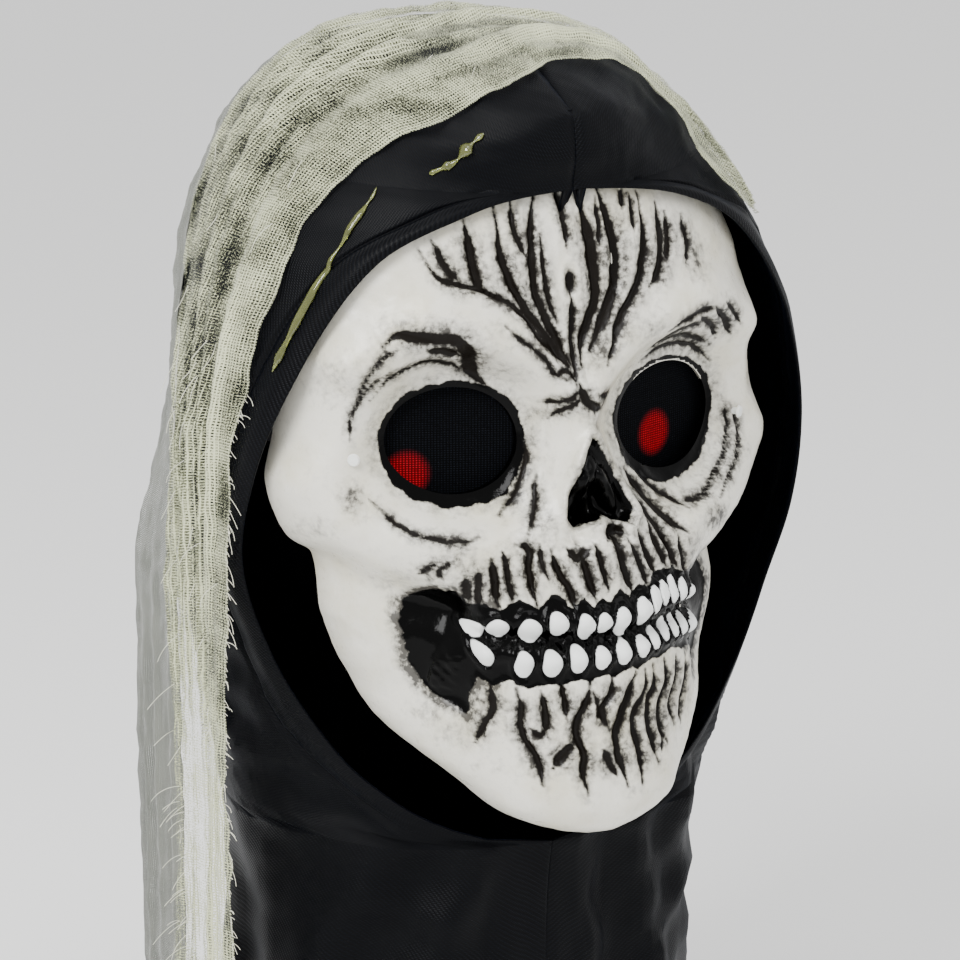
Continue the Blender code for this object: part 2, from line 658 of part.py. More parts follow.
def make_cover(case, boss, bridge_top, materials):
    half_x, half_z = CASE_WIDTH / 2, CASE_HEIGHT / 2
    low = max(CASE_DEPTH, bridge_top) + 0.3
    high = low + COVER_THICKNESS
    origin = case @ Vector((boss[0], low, boss[1]))
    cover = make(
        "battery_cover", *box((-half_x, low, -half_z), (half_x, high, half_z)), materials["case"],
        origin=origin, matrix=case,
    )
    boolean(cover, rod("cover_hole", SCREW_R + 0.3, low - 3, high + 3, boss[0], boss[1], case))
    seat = high + 0.3
    profile = [(0, low - 4.6), (SCREW_R * 0.6, low - 4.6), (SCREW_R, low - 3.9), (SCREW_R, seat)]
    crest = seat + SCREW_HEAD_RISE
    profile += [(SCREW_HEAD_R, seat), (SCREW_HEAD_R, seat + SCREW_HEAD_RISE * 0.6)]
    profile += [(SCREW_HEAD_R * 0.75, crest), (0, crest)]
    spun, faces = turned(profile, 20, False)
    points = [(boss[0] + a, h, boss[1] + b) for a, b, h in spun]
    screw = make("cover_screw", points, faces, materials["metal"], origin=origin, matrix=case)
    for number, size in enumerate(((1.5, 0.22), (0.22, 1.5))):
        slot = box(
            (boss[0] - size[0], seat + SCREW_HEAD_RISE - 0.7, boss[1] - size[1]),
            (boss[0] + size[0], seat + SCREW_HEAD_RISE + 1, boss[1] + size[1]),
        )
        boolean(screw, cutter("screw_slot_%d" % number, *slot, matrix=case))


# ---------------------------------------------------------------- hood


def hood_ring(level, side):
    values = list(eased(HOOD_RINGS, level))
    side_z, half, mid_y, front_z, front_right, front_left, back_z, back_y = values
    front = front_right if side < 0 else front_left
    drop = np.clip((level - 0.85) / 0.15, 0, 1) * (HOOD_BOTTOM - HOOD_RINGS[-1][1])
    return side_z + drop, half, mid_y, front_z + drop, front, back_z + drop, back_y


def edge_angle(level, side):
    """The angle from straight ahead at which a ring's cloth starts."""
    table = np.array(HOOD_EDGE, float)
    if level <= table[0, 0] or level >= table[-1, 0]:
        return 0.0
    edge = float(eased(HOOD_EDGE, level)[0 if side < 0 else 1])
    _, _, mid_y, _, front, _, _ = hood_ring(level, side)
    return math.acos(min(1.0, max(0.0, float((mid_y - edge) / (mid_y - front)))))


def hood_point(level, angle, side):
    side_z, half, mid_y, front_z, front, back_z, back_y = hood_ring(level, side)
    ahead, behind = np.clip(np.cos(angle), 0, 1), np.clip(-np.cos(angle), 0, 1)
    share = np.interp(level, (0.0, 0.14, 0.34), (-0.7, -0.9, 1.0)) if side > 0 else 0
    x = half * np.sin(angle) * (1 + (HOOD_LEFT_FULLNESS - 1) * share)
    y = mid_y - (mid_y - front) * ahead + (back_y - mid_y) * behind
    z = side_z + (front_z - side_z) * ahead**2 + (back_z - side_z) * behind**2
    return np.stack([side * (SEAM_GAP / 2 + x), y, z], -1)


def hood_levels():
    crown, brow = np.linspace(0, 0.21, 9), (0.215, 0.225, 0.24, 0.26)
    return np.concatenate([crown, brow, np.linspace(0.28, 1, HOOD_ROWS - 12)])


def hood_grid(side, offset):
    """Hood points on a sheet offset outwards."""
    rows = []
    for level in hood_levels():
        start = edge_angle(level, side)
        rows.append(start + (math.pi - start) * np.linspace(0, 1, HOOD_COLUMNS + 1))
    angles = np.array(rows)
    levels = np.repeat(hood_levels()[:, None], HOOD_COLUMNS + 1, axis=1)
    grid = hood_point(levels, angles, side)
    out = normals_of(grid)
    middle = (len(rows) // 2, HOOD_COLUMNS // 2)
    if out[middle][0] * side < 0:
        out = -out
    out[0] = (0, 0, 1)
    grid = grid + out * offset
    grid[..., 0] = side * np.maximum(side * grid[..., 0], SEAM_GAP / 2)
    return grid


def make_hood(name, side, material):
    outer = hood_grid(side, 0.0)
    inner = hood_grid(side, -HOOD_THICKNESS)
    make("hood_panel_" + name, *shell(outer, inner), material)
    return outer, inner


def make_hem(name, side, inner, material):
    """The turned hem: a band inside the cloth along the face edge."""
    levels = hood_levels()
    keep = [k for k, level in enumerate(levels) if 0.20 < level < 0.72]
    top = inner[keep]
    lengths = np.linalg.norm(np.diff(top, axis=1), axis=2)
    run = np.concatenate([np.zeros((len(keep), 1)), np.cumsum(lengths, axis=1)], axis=1)
    shares = np.linspace(0, HEM_WIDTH, 5)
    out = normals_of(top)
    if out[len(keep) // 2, HOOD_COLUMNS // 2, 0] * side < 0:
        out = -out
    upper = np.zeros((len(keep), len(shares), 3))
    lower = np.zeros_like(upper)
    for r in range(len(keep)):
        for k in range(3):
            spot = np.interp(shares, run[r], top[r, :, k])
            way = np.interp(shares, run[r], out[r, :, k])
            upper[r, :, k] = spot - way * HEM_GAP
            lower[r, :, k] = spot - way * (HEM_GAP + HEM_THICKNESS)
    for grid in (upper, lower):
        grid[..., 0] = side * np.maximum(side * grid[..., 0], SEAM_GAP / 2)
    make("face_hem_" + name, *shell(upper, lower), material)


# ---------------------------------------------------------------- gauze

# Stations of the drape from its left end, over the crown and down the right side: position,
# angle of the ray above straight left, height it starts from, front y and back y
DRAPE_OVER = (
    (0.00, 8, 62, -80, -40),
    (0.09, 24, 60, -84, -22),
    (0.18, 42, 60, -82, 5),
    (0.28, 63, 60, -74, 25),
    (0.38, 81, 60, -76, 34),
    (0.48, 102, 60, -88, 36),
    (0.58, 119, 60, -88, 34),
    (0.68, 138, 60, -76, 26),
    (0.78, 157, 60, -67, 14),
    (0.86, 175, 60, -64, 2),
    (0.93, 180, 30, -58, -6),
    (1.00, 180, 0, -55, -10),
)
VEIL_OVER = (
    (0.00, 107, 60, 42, 62),
    (0.25, 127, 60, 40, 72),
    (0.50, 147, 60, 34, 76),
    (0.70, 166, 60, 22, 70),
    (0.85, 180, 45, 10, 58),
    (1.00, 180, 10, 0, 44),
)


def draped(stations, tree, columns, over_rows, tail_z, tail_rows, lean):
    """A grid that lies on the hood by rays and then hangs plumb to tail_z."""
    rows = []
    for turn, start_z, front, back in zip(*eased(stations, np.linspace(0, 1, over_rows + 1))):
        direction = Vector((math.cos(math.radians(turn)), 0, math.sin(math.radians(turn))))
        row = []
        for y in np.linspace(front, back, columns):
            far = Vector((0, y, start_z)) + direction * 300
            row.append(tree.ray_cast(far, -direction)[0] + direction * GAUZE_PROUD)
        rows.append(row)
    last = rows[-1]
    for share in np.linspace(0, 1, tail_rows + 1)[1:]:
        drop = (tail_z - last[0].z) * share
        widest = min(p.x for p in last)
        pull = min(1.0, share * 4)
        rows.append([
            Vector((p.x + (widest - 1.0 - p.x) * pull + lean[0] * share, p.y + lean[1] * share, p.z + drop))
            for p in last
        ])
    return np.array([[tuple(p) for p in row] for row in rows])


def sheet_solid(name, grid, thickness, material):
    out = normals_of(grid)
    if out[len(grid) // 3, grid.shape[1] // 2, 2] < 0:
        out = -out
    make(name, *shell(grid + out * thickness, grid), material)


def make_glue(name, tree, spots, material):
    """A bead of hot glue along the cloth beside the gauze's front edge."""
    path = []
    for turn, start_z, y in zip(*eased(spots, np.linspace(0, 1, 12))):
        direction = Vector((math.cos(math.radians(turn)), 0, math.sin(math.radians(turn))))
        hit, normal = tree.ray_cast(Vector((0, y, start_z)) + direction * 300, -direction)[:2]
        path.append(hit + normal * (GLUE_R + 0.9))
    make(name, *swept(path, round_section(GLUE_R, 8)), material)


def make_label(grid, material):
    """The sewn-in label that stands out of the right side low on the hood."""
    width, thickness, height = LABEL_SIZE
    spot = grid[int(len(grid) * 0.70), HOOD_COLUMNS // 2]
    low = (spot[0] - FIT - width, spot[1] - thickness / 2, spot[2] - height)
    make("sewn_label", *box(low, (spot[0] - FIT, spot[1] + thickness / 2, spot[2])), material)


# ---------------------------------------------------------------- build

clear_scene()
MATERIALS = {
    "bone": paint("bone_painted_vinyl", "#D8D4C6", 0.32),
    "black": paint("black_plastic", "#111214", 0.45),
    "knit": paint("black_eye_knit", "#0B0C10", 0.85),
    "white": paint("white_nylon", "#E8E6DF", 0.35),
    "elastic": paint("black_elastic", "#141416", 0.85),
    "led": paint("red_led_epoxy", "#D01018", 0.12),
    "lead": paint("red_lead_pvc", "#8C1A1A", 0.5),
    "case": paint("black_abs", "#17181A", 0.5),
    "button": paint("red_button", "#B3201C", 0.4),
    "switch": paint("switch_plastic", "#2A2A2C", 0.5),
    "board": paint("board_green", "#1E5A34", 0.5),
    "metal": paint("nickel", "#B9BBBE", 0.3, 1.0),
    "satin": paint("black_satin", "#101218", 0.45),
    "gauze": paint("gauze_cotton", "#B9B8A0", 0.9),
    "veil": paint("grey_gauze", "#A9ABA6", 0.9),
    "glue": paint("hot_glue", "#9A9A55", 0.2),
    "label": paint("label_white", "#E9E9E6", 0.7),
}

skull, outside_tree, inside_tree = make_face(MATERIALS["bone"])
case_at = case_matrix(inside_tree)
pins_at = []
for side, name in ((-1, "right"), (1, "left")):
    make_eye_patch("eye_mesh_" + name, side, inside_tree, MATERIALS["knit"])
    pins_at.append(make_pin(name, side, skull, inside_tree, outside_tree, MATERIALS))
    make_light(name, side, inside_tree, case_at, MATERIALS)
make_strap(pins_at, MATERIALS["elastic"])
boss_at = make_case(case_at, MATERIALS)
make_button(case_at, MATERIALS)
bridge_top = make_power(case_at, boss_at[1], MATERIALS)
make_cover(case_at, boss_at, bridge_top, MATERIALS)

hoods = []
for side, name in ((-1, "right"), (1, "left")):
    outer, inner = make_hood(name, side, MATERIALS["satin"])
    make_hem(name, side, inner, MATERIALS["satin"])
    hoods.append(outer)
both = np.concatenate([hoods[1][:, ::-1], hoods[0]], axis=1)
hood_tree = surface_tree(both)
right_tree = surface_tree(hoods[0])

drape = draped(DRAPE_OVER, hood_tree, 11, 30, GAUZE_TAIL_Z, 9, (4, 4))
sheet_solid("gauze_drape", drape, GAUZE_THICKNESS, MATERIALS["gauze"])
veil = draped(VEIL_OVER, right_tree, 6, 14, VEIL_TAIL_Z, 8, (0, -6))
sheet_solid("gauze_veil", veil, GAUZE_THICKNESS, MATERIALS["veil"])
SIDE_GLUE = ((0.0, 149, 60, -79), (0.4, 166, 60, -78), (0.7, 180, 55, -74), (1.0, 180, 32, -68))
TOP_GLUE = ((0.0, 118, 60, -96), (0.5, 129, 60, -94), (1.0, 138, 60, -89))
make_glue("glue_bead_side", right_tree, SIDE_GLUE, MATERIALS["glue"])
make_glue("glue_bead_top", right_tree, TOP_GLUE, MATERIALS["glue"])
make_label(hoods[0], MATERIALS["label"])
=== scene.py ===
import json
import math

import bmesh
import bpy
import numpy as np
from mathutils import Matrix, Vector
from mathutils.bvhtree import BVHTree

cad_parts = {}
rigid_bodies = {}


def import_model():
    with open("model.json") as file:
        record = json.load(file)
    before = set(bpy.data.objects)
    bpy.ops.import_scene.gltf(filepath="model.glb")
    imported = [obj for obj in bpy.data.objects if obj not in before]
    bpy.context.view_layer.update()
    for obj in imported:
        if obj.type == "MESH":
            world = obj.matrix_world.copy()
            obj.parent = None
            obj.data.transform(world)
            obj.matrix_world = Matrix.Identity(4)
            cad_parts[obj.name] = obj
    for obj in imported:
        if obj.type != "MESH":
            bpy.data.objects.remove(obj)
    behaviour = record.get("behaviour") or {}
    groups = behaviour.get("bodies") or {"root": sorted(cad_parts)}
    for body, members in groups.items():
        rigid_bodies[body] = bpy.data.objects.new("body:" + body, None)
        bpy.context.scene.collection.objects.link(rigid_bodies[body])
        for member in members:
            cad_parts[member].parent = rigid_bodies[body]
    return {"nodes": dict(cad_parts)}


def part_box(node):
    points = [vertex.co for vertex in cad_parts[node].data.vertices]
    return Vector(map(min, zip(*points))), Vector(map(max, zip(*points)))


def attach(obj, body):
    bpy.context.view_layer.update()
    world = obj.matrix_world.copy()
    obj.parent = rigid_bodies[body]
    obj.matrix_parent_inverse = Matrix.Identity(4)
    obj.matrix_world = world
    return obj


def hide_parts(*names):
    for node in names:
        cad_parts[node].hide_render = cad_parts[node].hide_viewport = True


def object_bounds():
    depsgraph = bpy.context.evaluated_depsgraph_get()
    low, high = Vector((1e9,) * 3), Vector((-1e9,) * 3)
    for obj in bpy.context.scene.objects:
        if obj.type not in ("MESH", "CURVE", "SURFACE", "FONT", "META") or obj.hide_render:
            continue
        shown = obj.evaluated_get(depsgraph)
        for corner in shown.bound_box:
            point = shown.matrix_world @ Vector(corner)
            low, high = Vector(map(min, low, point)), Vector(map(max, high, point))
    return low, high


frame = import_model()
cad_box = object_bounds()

# ---------------------------------------------------------------- camera, floor and light
# The mask stands on a pale painted floor, as in a small product studio: one large soft box
# high on the wearer's right, a weaker one on the left, and white walls that fill the rest.

CAMERA_TARGET = (-0.0385, -0.1030, -0.01074)
CAMERA_DISTANCE = 1.8
CAMERA_AZIMUTH = -27
CAMERA_ELEVATION = 15
CAMERA_LENS = 175.8
FLOOR_SIDE = 24.0


def deselect():
    for item in bpy.context.view_layer.objects:
        item.select_set(False)


def linear(hex_colour):
    """An sRGB hex colour as the linear numbers that a shader takes."""
    values = [int(hex_colour[i : i + 2], 16) / 255 for i in (1, 3, 5)]
    return (*(v / 12.92 if v <= 0.04045 else ((v + 0.055) / 1.055) ** 2.4 for v in values), 1.0)


def finish_named(name, colour, roughness, **sockets):
    """A material named for its real finish, with its tree and its shader."""
    made = bpy.data.materials.new(name)
    made.use_nodes = True
    shader = made.node_tree.nodes["Principled BSDF"]
    shader.inputs["Base Color"].default_value = linear(colour)
    shader.inputs["Roughness"].default_value = roughness
    for key, value in sockets.items():
        shader.inputs[key.replace("_", " ")].default_value = value
    return made, made.node_tree, shader


def add_node(tree, kind, sockets=(), **settings):
    """Adds one shader node; a socket takes a plain value or another node's output."""
    made = tree.nodes.new("ShaderNode" + kind)
    for key, value in settings.items():
        setattr(made, key, value)
    for key, value in dict(sockets).items():
        if isinstance(value, bpy.types.NodeSocket):
            tree.links.new(value, made.inputs[key])
        else:
            made.inputs[key].default_value = value
    return made


def direction_back(azimuth, elevation):
    a, e = math.radians(azimuth), math.radians(elevation)
    return Vector((math.sin(a) * math.cos(e), -math.cos(a) * math.cos(e), math.sin(e)))


camera = bpy.data.objects.new("camera", bpy.data.cameras.new("camera"))
bpy.context.scene.collection.objects.link(camera)
camera.data.lens = CAMERA_LENS
camera.data.sensor_width = 36
camera.data.clip_start = 0.05
camera.data.clip_end = 60
back = direction_back(CAMERA_AZIMUTH, CAMERA_ELEVATION)
camera.location = Vector(CAMERA_TARGET) + back * CAMERA_DISTANCE
camera.rotation_mode = "QUATERNION"
camera.rotation_quaternion = (-back).to_track_quat("-Z", "Y")
bpy.context.scene.camera = camera

deselect()
bpy.ops.mesh.primitive_plane_add(size=FLOOR_SIDE, location=(0, 0, cad_box[0].z - 0.0005))
floor = bpy.context.object
floor.name = "studio_floor"
floor_paint, tree, shader = finish_named("matt_white_floor_paint", "#F6F6F5", 0.85)
grain = add_node(tree, "TexNoise", {"Scale": 3.0, "Detail": 3.0})
tone = add_node(
    tree, "MixRGB",
    {"Fac": grain.outputs["Fac"], "Color1": linear("#F4F4F3"), "Color2": linear("#F9F9F9")},
)
tree.links.new(tone.outputs["Color"], shader.inputs["Base Color"])
floor.data.materials.append(floor_paint)

world = bpy.data.worlds.new("white_studio")
bpy.context.scene.world = world
world.use_nodes = True
world.node_tree.nodes["Background"].inputs["Color"].default_value = linear("#FFFFFF")
world.node_tree.nodes["Background"].inputs["Strength"].default_value = 1.15


def soft_box(name, azimuth, elevation, distance, size, power):
    """A square softbox that faces the mask; power is in watts."""
    data = bpy.data.lights.new(name, "AREA")
    data.shape = "SQUARE"
    data.size = size
    data.energy = power
    lamp = bpy.data.objects.new(name, data)
    bpy.context.scene.collection.objects.link(lamp)
    toward = direction_back(azimuth, elevation)
    lamp.location = Vector(CAMERA_TARGET) + toward * distance
    lamp.rotation_mode = "QUATERNION"
    lamp.rotation_quaternion = (-toward).to_track_quat("-Z", "Y")


soft_box("key_box", -62, 42, 1.5, 0.7, 32)
soft_box("fill_box", 40, 30, 1.7, 0.9, 7)
soft_box("top_box", -10, 82, 1.6, 0.9, 9)

# ---------------------------------------------------------------- face shell
# The face is one vacuum-moulded PVC shell, 2.4 mm thick, sprayed bone white. Its sculpted
# grooves hold a dark antiquing wash, and the gums and the eye rims are brushed gloss black.

FACE_FRONT = -112.0
FACE_WALL = 2.4
EYE_X, EYE_Z, EYE_HALF_WIDTH, EYE_HALF_HEIGHT, EYE_RIM, SOCKET_DEPTH = 46.5, 4.2, 24.4, 20.8, 3.4, 13.0
FACE_COLUMNS, FACE_ROWS, INNER_SHARE = 304, 276, 4

# From the top edge to the chin: position, middle z and depth behind the nose root, rim x, rim z,
# rim depth, roundness
FACE_STATIONS = (
    (0.00, 128, 45, 30, 121, 58, 2.00), (0.08, 113, 20, 60, 106, 60, 2.00),
    (0.18, 92, 8, 85, 84, 60, 2.10), (0.30, 62, 2, 98, 54, 60, 2.10),
    (0.42, 30, 0, 102, 20, 58, 1.95), (0.52, 0, -5, 104, -8, 57, 1.80),
    (0.61, -28, -14, 100, -34, 57, 1.70), (0.70, -56, -24, 87, -62, 58, 1.75),
    (0.79, -84, -27, 79, -86, 54, 1.80), (0.87, -110, -28, 68, -110, 42, 1.90),
    (0.93, -131, -28, 50, -128, 20, 2.10), (0.97, -145, -24, 32, -143, 10, 2.15),
    (1.00, -153, -9, 15, -151, 14, 2.00),
)
# Bands that both halves share: path as (x, z), half-width, rise
FACE_BANDS = (
    (((5, 25), (28, 42), (58, 51), (84, 38)), 10, 6.0),
    (((0, 18), (1, -8)), 7, 4.0),
    (((2, -10), (3, -34)), 14, 4.0),
    (((50, -36), (76, -31), (96, -16)), 12, 5.0),
    (((84, 32), (87, 6), (96, -8)), 8, 3.0),
    (((60, -60), (82, -54), (92, -48)), 9, -7.0),
    (((0, -62), (24, -62), (44, -60)), 4, 2.5),
    (((0, -77), (24, -77), (44, -74)), 4, 2.5),
    (((0, -69.5), (26, -69.5), (50, -67)), 3, -2.5),
    (((60, -66), (60, -92)), 10, -5.0),
    (((0, -140), (26, -134)), 11, 3.5),
    (((5, -18), (8, -30)), 5, -7.0),
)
# Carved strokes: points as (x, z), half-width, depth. The first group fans over the forehead
# down to the nose root.
FOREHEAD_CUTS = (
    (
        ((-60, 80), (-56, 71), (-49, 67), (-41, 65), (-31, 60), (-24, 54), (-18, 45), (-10, 36), (-5, 28)),
        0.9, 1.3,
    ),
    (((-55, 83), (-51.5, 73), (-47, 68)), 1.1, 1.3),
    (((-43, 91), (-42, 78), (-41, 70), (-38, 63)), 1.5, 1.8),
    (((-31, 97), (-31, 80), (-29, 71), (-26, 63), (-21, 54), (-15, 45), (-9, 36), (-6, 30)), 1.4, 1.8),
    (((-24.5, 98), (-24.5, 88), (-23, 80), (-21, 76)), 0.9, 1.2),
    (((-14, 101), (-17.5, 88), (-18.5, 76), (-18, 62), (-14.5, 52), (-10, 42), (-6, 33)), 1.3, 1.7),
    (((-14.5, 83), (-14, 69), (-13, 60), (-10, 50)), 0.9, 1.3),
    (((-6, 103), (-4, 88), (-4, 78)), 0.9, 1.2),
    (((-3.3, 61), (-3, 53), (-4, 43), (-4.5, 34), (-5, 26)), 1.0, 1.5),
    (((3, 101), (5, 87), (6.5, 76), (7.2, 66), (7, 57), (3, 48), (0.5, 41), (-1.5, 33)), 1.9, 2.2),
    (((12, 101), (15, 87), (17, 76), (16.5, 66), (13.5, 56), (9, 47), (3.5, 38)), 2.0, 2.2),
    (((11, 95), (10.5, 84), (10, 77)), 0.9, 1.2),
    (((24, 97), (22, 90)), 0.9, 1.0),
    (((27, 95), (27, 88), (27, 81)), 0.8, 1.1),
    (((31, 95), (31.5, 78), (29, 65), (25, 58), (19, 51), (15, 43), (12, 36)), 1.4, 1.8),
    (((39.5, 90), (40, 76), (38, 65), (32, 59)), 1.5, 1.7),
    (((43.5, 86), (43.5, 74), (42, 68)), 1.0, 1.3),
    (((52, 84), (54, 72), (52, 65)), 1.0, 1.0),
    (((-32, 51), (-25.5, 44.5), (-18, 38), (-14, 32), (-9, 28.5)), 0.6, 0.7),
    (((-14, 31), (-9, 32), (-4, 27)), 0.7, 0.9),
    (((16, 50), (14, 41), (9, 32)), 0.6, 0.8),
    (((-16, 19), (-9, 20), (-3, 25)), 0.7, 0.9),
    (((-12, 12), (-8, 17), (-3, 22)), 0.7, 0.9),
    (((-4, 27), (-2, 21), (3, 17), (8, 15)), 1.5, 1.4),
    (((4, 22), (9, 20), (13, 20)), 1.0, 1.0),
)
# Creases round the sockets, brows and cheeks
SOCKET_CUTS = (
    (
        ((-77, 45), (-72, 49), (-63.5, 48), (-57, 47.5), (-50.5, 46), (-46, 41), (-42, 35), (-37, 28), (-30, 22)),
        1.9, 1.5,
    ),
    (((-61, 43), (-54.5, 42), (-48, 39.5)), 1.3, 1.0),
    (((-84, 20), (-82, 31), (-77, 40), (-72, 44)), 0.6, 0.8),
    (((-78, 22), (-72, 31), (-65, 35), (-58, 37.5), (-48, 35), (-41, 29)), 0.7, 0.9),
    (((-86, 6), (-85, 16), (-80, 27), (-73, 34)), 0.5, 0.6),
    (((-80, -16), (-70, -27), (-56, -31), (-44, -30)), 0.7, 0.6),
    (((-33, -24), (-25, -16), (-20, -4), (-21, 6)), 0.8, 0.7),
    (((-27, -30), (-21, -20), (-17, -10)), 0.6, 0.5),
    (((35, 32), (43, 38), (53, 40.5), (62, 39)), 0.8, 1.0),
    (((40, 41), (50, 45), (57, 47), (65, 46.5)), 0.8, 1.0),
    (((38, 33), (48.5, 36.5), (59, 34), (69, 29)), 0.9, 1.0),
    (((56, 45), (65, 39), (70, 32)), 0.9, 1.2),
    (((64, 47), (71, 41), (77, 33)), 1.1, 1.4),
    (((70, 48), (76, 43), (80, 37)), 0.9, 1.2),
    (((33, 27), (46, 32), (60, 30), (72, 21)), 0.9, 0.9),
    (((78, 6), (80, -6), (74, -18), (62, -26)), 0.7, 0.8),
    (((82, 2), (85, -8), (80, -20), (66, -30)), 0.7, 0.8),
    (((74, -18), (60, -27), (44, -28)), 0.6, 0.7),
    (((22, -12), (28, -22), (34, -30), (44, -38)), 1.3, 1.4),
    (((19, -14), (24, -26), (30, -36), (35, -46)), 0.9, 1.1),
    (((26, -12), (36, -22), (48, -30)), 0.8, 1.0),
    (((-60, -38), (-64, -42), (-66, -44)), 0.7, 0.6),
    (((-55, -37), (-60, -42), (-58, -46)), 0.6, 0.5),
)
# Bone grooves that run down to the upper teeth and on from the lower teeth to the chin
JAW_CUTS = (
    (((-52, -44), (-51, -50), (-50, -55)), 1.2, 1.6),
    (((-48, -41), (-47.5, -48), (-47, -57)), 1.1, 1.5),
    (((-42.5, -37), (-42, -46), (-41, -56)), 1.3, 1.8),
    (((-38, -35), (-37, -44), (-36, -55)), 1.0, 1.5),
    (((-32, -33), (-27.5, -35), (-29, -44), (-27.5, -56)), 1.2, 1.8),
    (((-24, -33), (-24, -40), (-22.5, -46)), 0.7, 0.9),
    (((-20, -35), (-18, -44), (-14.5, -51), (-13.5, -58)), 1.2, 1.8),
    (((-9, -37), (-7.5, -46), (-5, -55)), 1.2, 1.8),
    (((-3.5, -34), (-1.5, -42), (0.5, -52)), 1.1, 1.6),
    (((6.5, -30), (7, -38), (9, -46), (12.5, -55)), 1.4, 2.0),
    (((12, -35), (16.5, -44), (19.5, -53)), 1.2, 1.7),
    (((18, -32), (21, -42), (25, -50)), 1.2, 1.7),
    (((24, -30), (27, -40), (31, -48)), 1.1, 1.5),
    (((30, -34), (33, -42), (37, -50)), 1.1, 1.5),
    (((38, -38), (40, -46), (43, -54)), 1.0, 1.4),
    (((-14, -35), (-11, -38), (-5, -35)), 1.4, 1.2),
    (((2, -33), (6, -31), (13, -33)), 1.4, 1.2),
    (((-44, -86), (-43, -96), (-46, -104), (-48, -111)), 1.0, 1.2),
    (((-35.5, -88), (-34, -96), (-34.5, -104), (-30.5, -113), (-28, -121), (-28, -126)), 1.0, 1.4),
    (((-31, -104), (-28, -107), (-25, -105)), 0.8, 0.9),
    (((-27, -89), (-25.5, -99), (-26, -107)), 1.1, 1.5),
    (((-20, -86), (-18.6, -93), (-18.5, -100)), 1.0, 1.5),
    (((-16, -110), (-19, -114), (-24, -120)), 1.6, 1.6),
    (((-9, -86), (-10, -93), (-14, -101), (-14.5, -108), (-12, -115), (-12.5, -123), (-11, -131)), 1.3, 1.7),
    (((0.5, -85), (0, -91), (-4, -97), (-4, -101), (-1, -106)), 1.2, 1.6),
    (((11.5, -85), (9, -91), (5, -99), (2, -106), (2, -113), (4, -121), (6.5, -130)), 1.4, 1.8),
    (((16.5, -85), (16, -93), (10.5, -100), (9.5, -106), (12, -114), (13, -122), (13, -130)), 1.2, 1.6),
    (((20.5, -84), (21, -92), (17, -99), (17.5, -107), (20, -116), (22, -124)), 1.1, 1.5),
    (((27, -83), (28, -92), (23, -101), (24, -109), (28, -118)), 1.1, 1.5),
    (((34, -84), (34, -93), (30, -102), (33, -112)), 1.0, 1.4),
    (((41, -86), (41, -96), (37, -105), (38, -113)), 1.0, 1.3),
    (((-4.5, -114), (-1.5, -119), (1.5, -125)), 1.4, 1.4),
    (((22, -108), (25, -114), (24, -120)), 0.8, 1.0),
    (((-8, -90), (-6, -96), (-7, -103)), 0.6, 0.7),
)
# Teeth: centre x and z, width, height, lean in degrees
TEETH = (
    (-47, -66, 5.2, 6.4, 30), (-41, -64.5, 6.4, 8.6, 32), (-30.5, -65.3, 7.8, 10.6, 22),
    (-20.8, -62.8, 7.2, 10.0, 8), (-10.2, -64.6, 6.6, 11.2, 10), (-3, -63.7, 6.2, 8.8, 0),
    (5.4, -64.4, 7.6, 12.0, -4), (15.6, -62.2, 7.0, 11.6, -2), (22.2, -58.8, 5.0, 10.6, -4),
    (27.4, -57.2, 4.6, 9.4, 0), (32.6, -57.0, 4.8, 10.6, 0), (38.4, -58.5, 5.0, 9.0, -10),
    (45, -62, 5.6, 7.2, -28),
    (-46, -75, 4.6, 10.4, 20), (-33.4, -78.4, 6.4, 11.0, 4), (-23.6, -78.2, 7.2, 10.8, 4),
    (-13.8, -77, 6.7, 11.2, 2), (-4.2, -77.2, 6.6, 9.2, 0), (5.2, -76.2, 6.9, 9.8, 6),
    (14.6, -75.6, 6.2, 8.6, 8), (21, -73.6, 5.0, 8.8, 10), (27.2, -71.4, 4.8, 9.4, 6),
    (32.8, -71.6, 4.2, 9.0, 6), (38.6, -72.4, 4.6, 8.6, 0), (45.4, -74, 4.8, 8.6, -16),
)
# Outline of the gloss black round the teeth, from the right corner along the top and back
GUM_OUTLINE = (
    (-68, -66), (-66, -59), (-60, -51.5), (-54, -51), (-49, -56), (-45, -55), (-41, -57), (-37, -54.5),
    (-33, -53), (-27, -57), (-22, -52), (-19, -51.5), (-14.5, -57), (-10, -53), (-6, -57), (-3, -54),
    (1, -56), (5, -51.5), (10, -55), (15, -51), (19.5, -53), (23, -49), (29, -48.5), (35, -49),
    (42, -53), (49, -53), (55, -50), (62, -52), (67, -60), (69, -68), (66, -80), (60, -93), (53, -99),
    (49, -92), (46, -84), (38, -83), (31, -80), (25, -82), (19, -82), (13, -84.5), (7, -83), (2, -86),
    (-3, -84), (-9, -86.5), (-14, -85), (-20, -87.5), (-25, -86.5), (-32, -88), (-38, -85), (-43, -88),
    (-47, -85), (-49, -92), (-50, -100), (-56, -96), (-61, -91), (-65.5, -82), (-67, -74),
)
NOSE_PIT = (
    (1.5, 5), (-1.5, 1), (-5, -6), (-9, -17), (-10.5, -25), (-7.5, -28.5), (-4, -27), (0.5, -25), (4.5, -25),
    (9, -27.5), (15, -28.5), (18.5, -25), (16.5, -18), (11.5, -8), (7, -1), (4, 3.5),
)
# The two glossy swellings inside the nose: centre x and z, width, height, lean
NOSE_SWELLS = ((-4.2, -15, 5.6, 20, -16), (9.4, -15, 7.6, 21, 21))
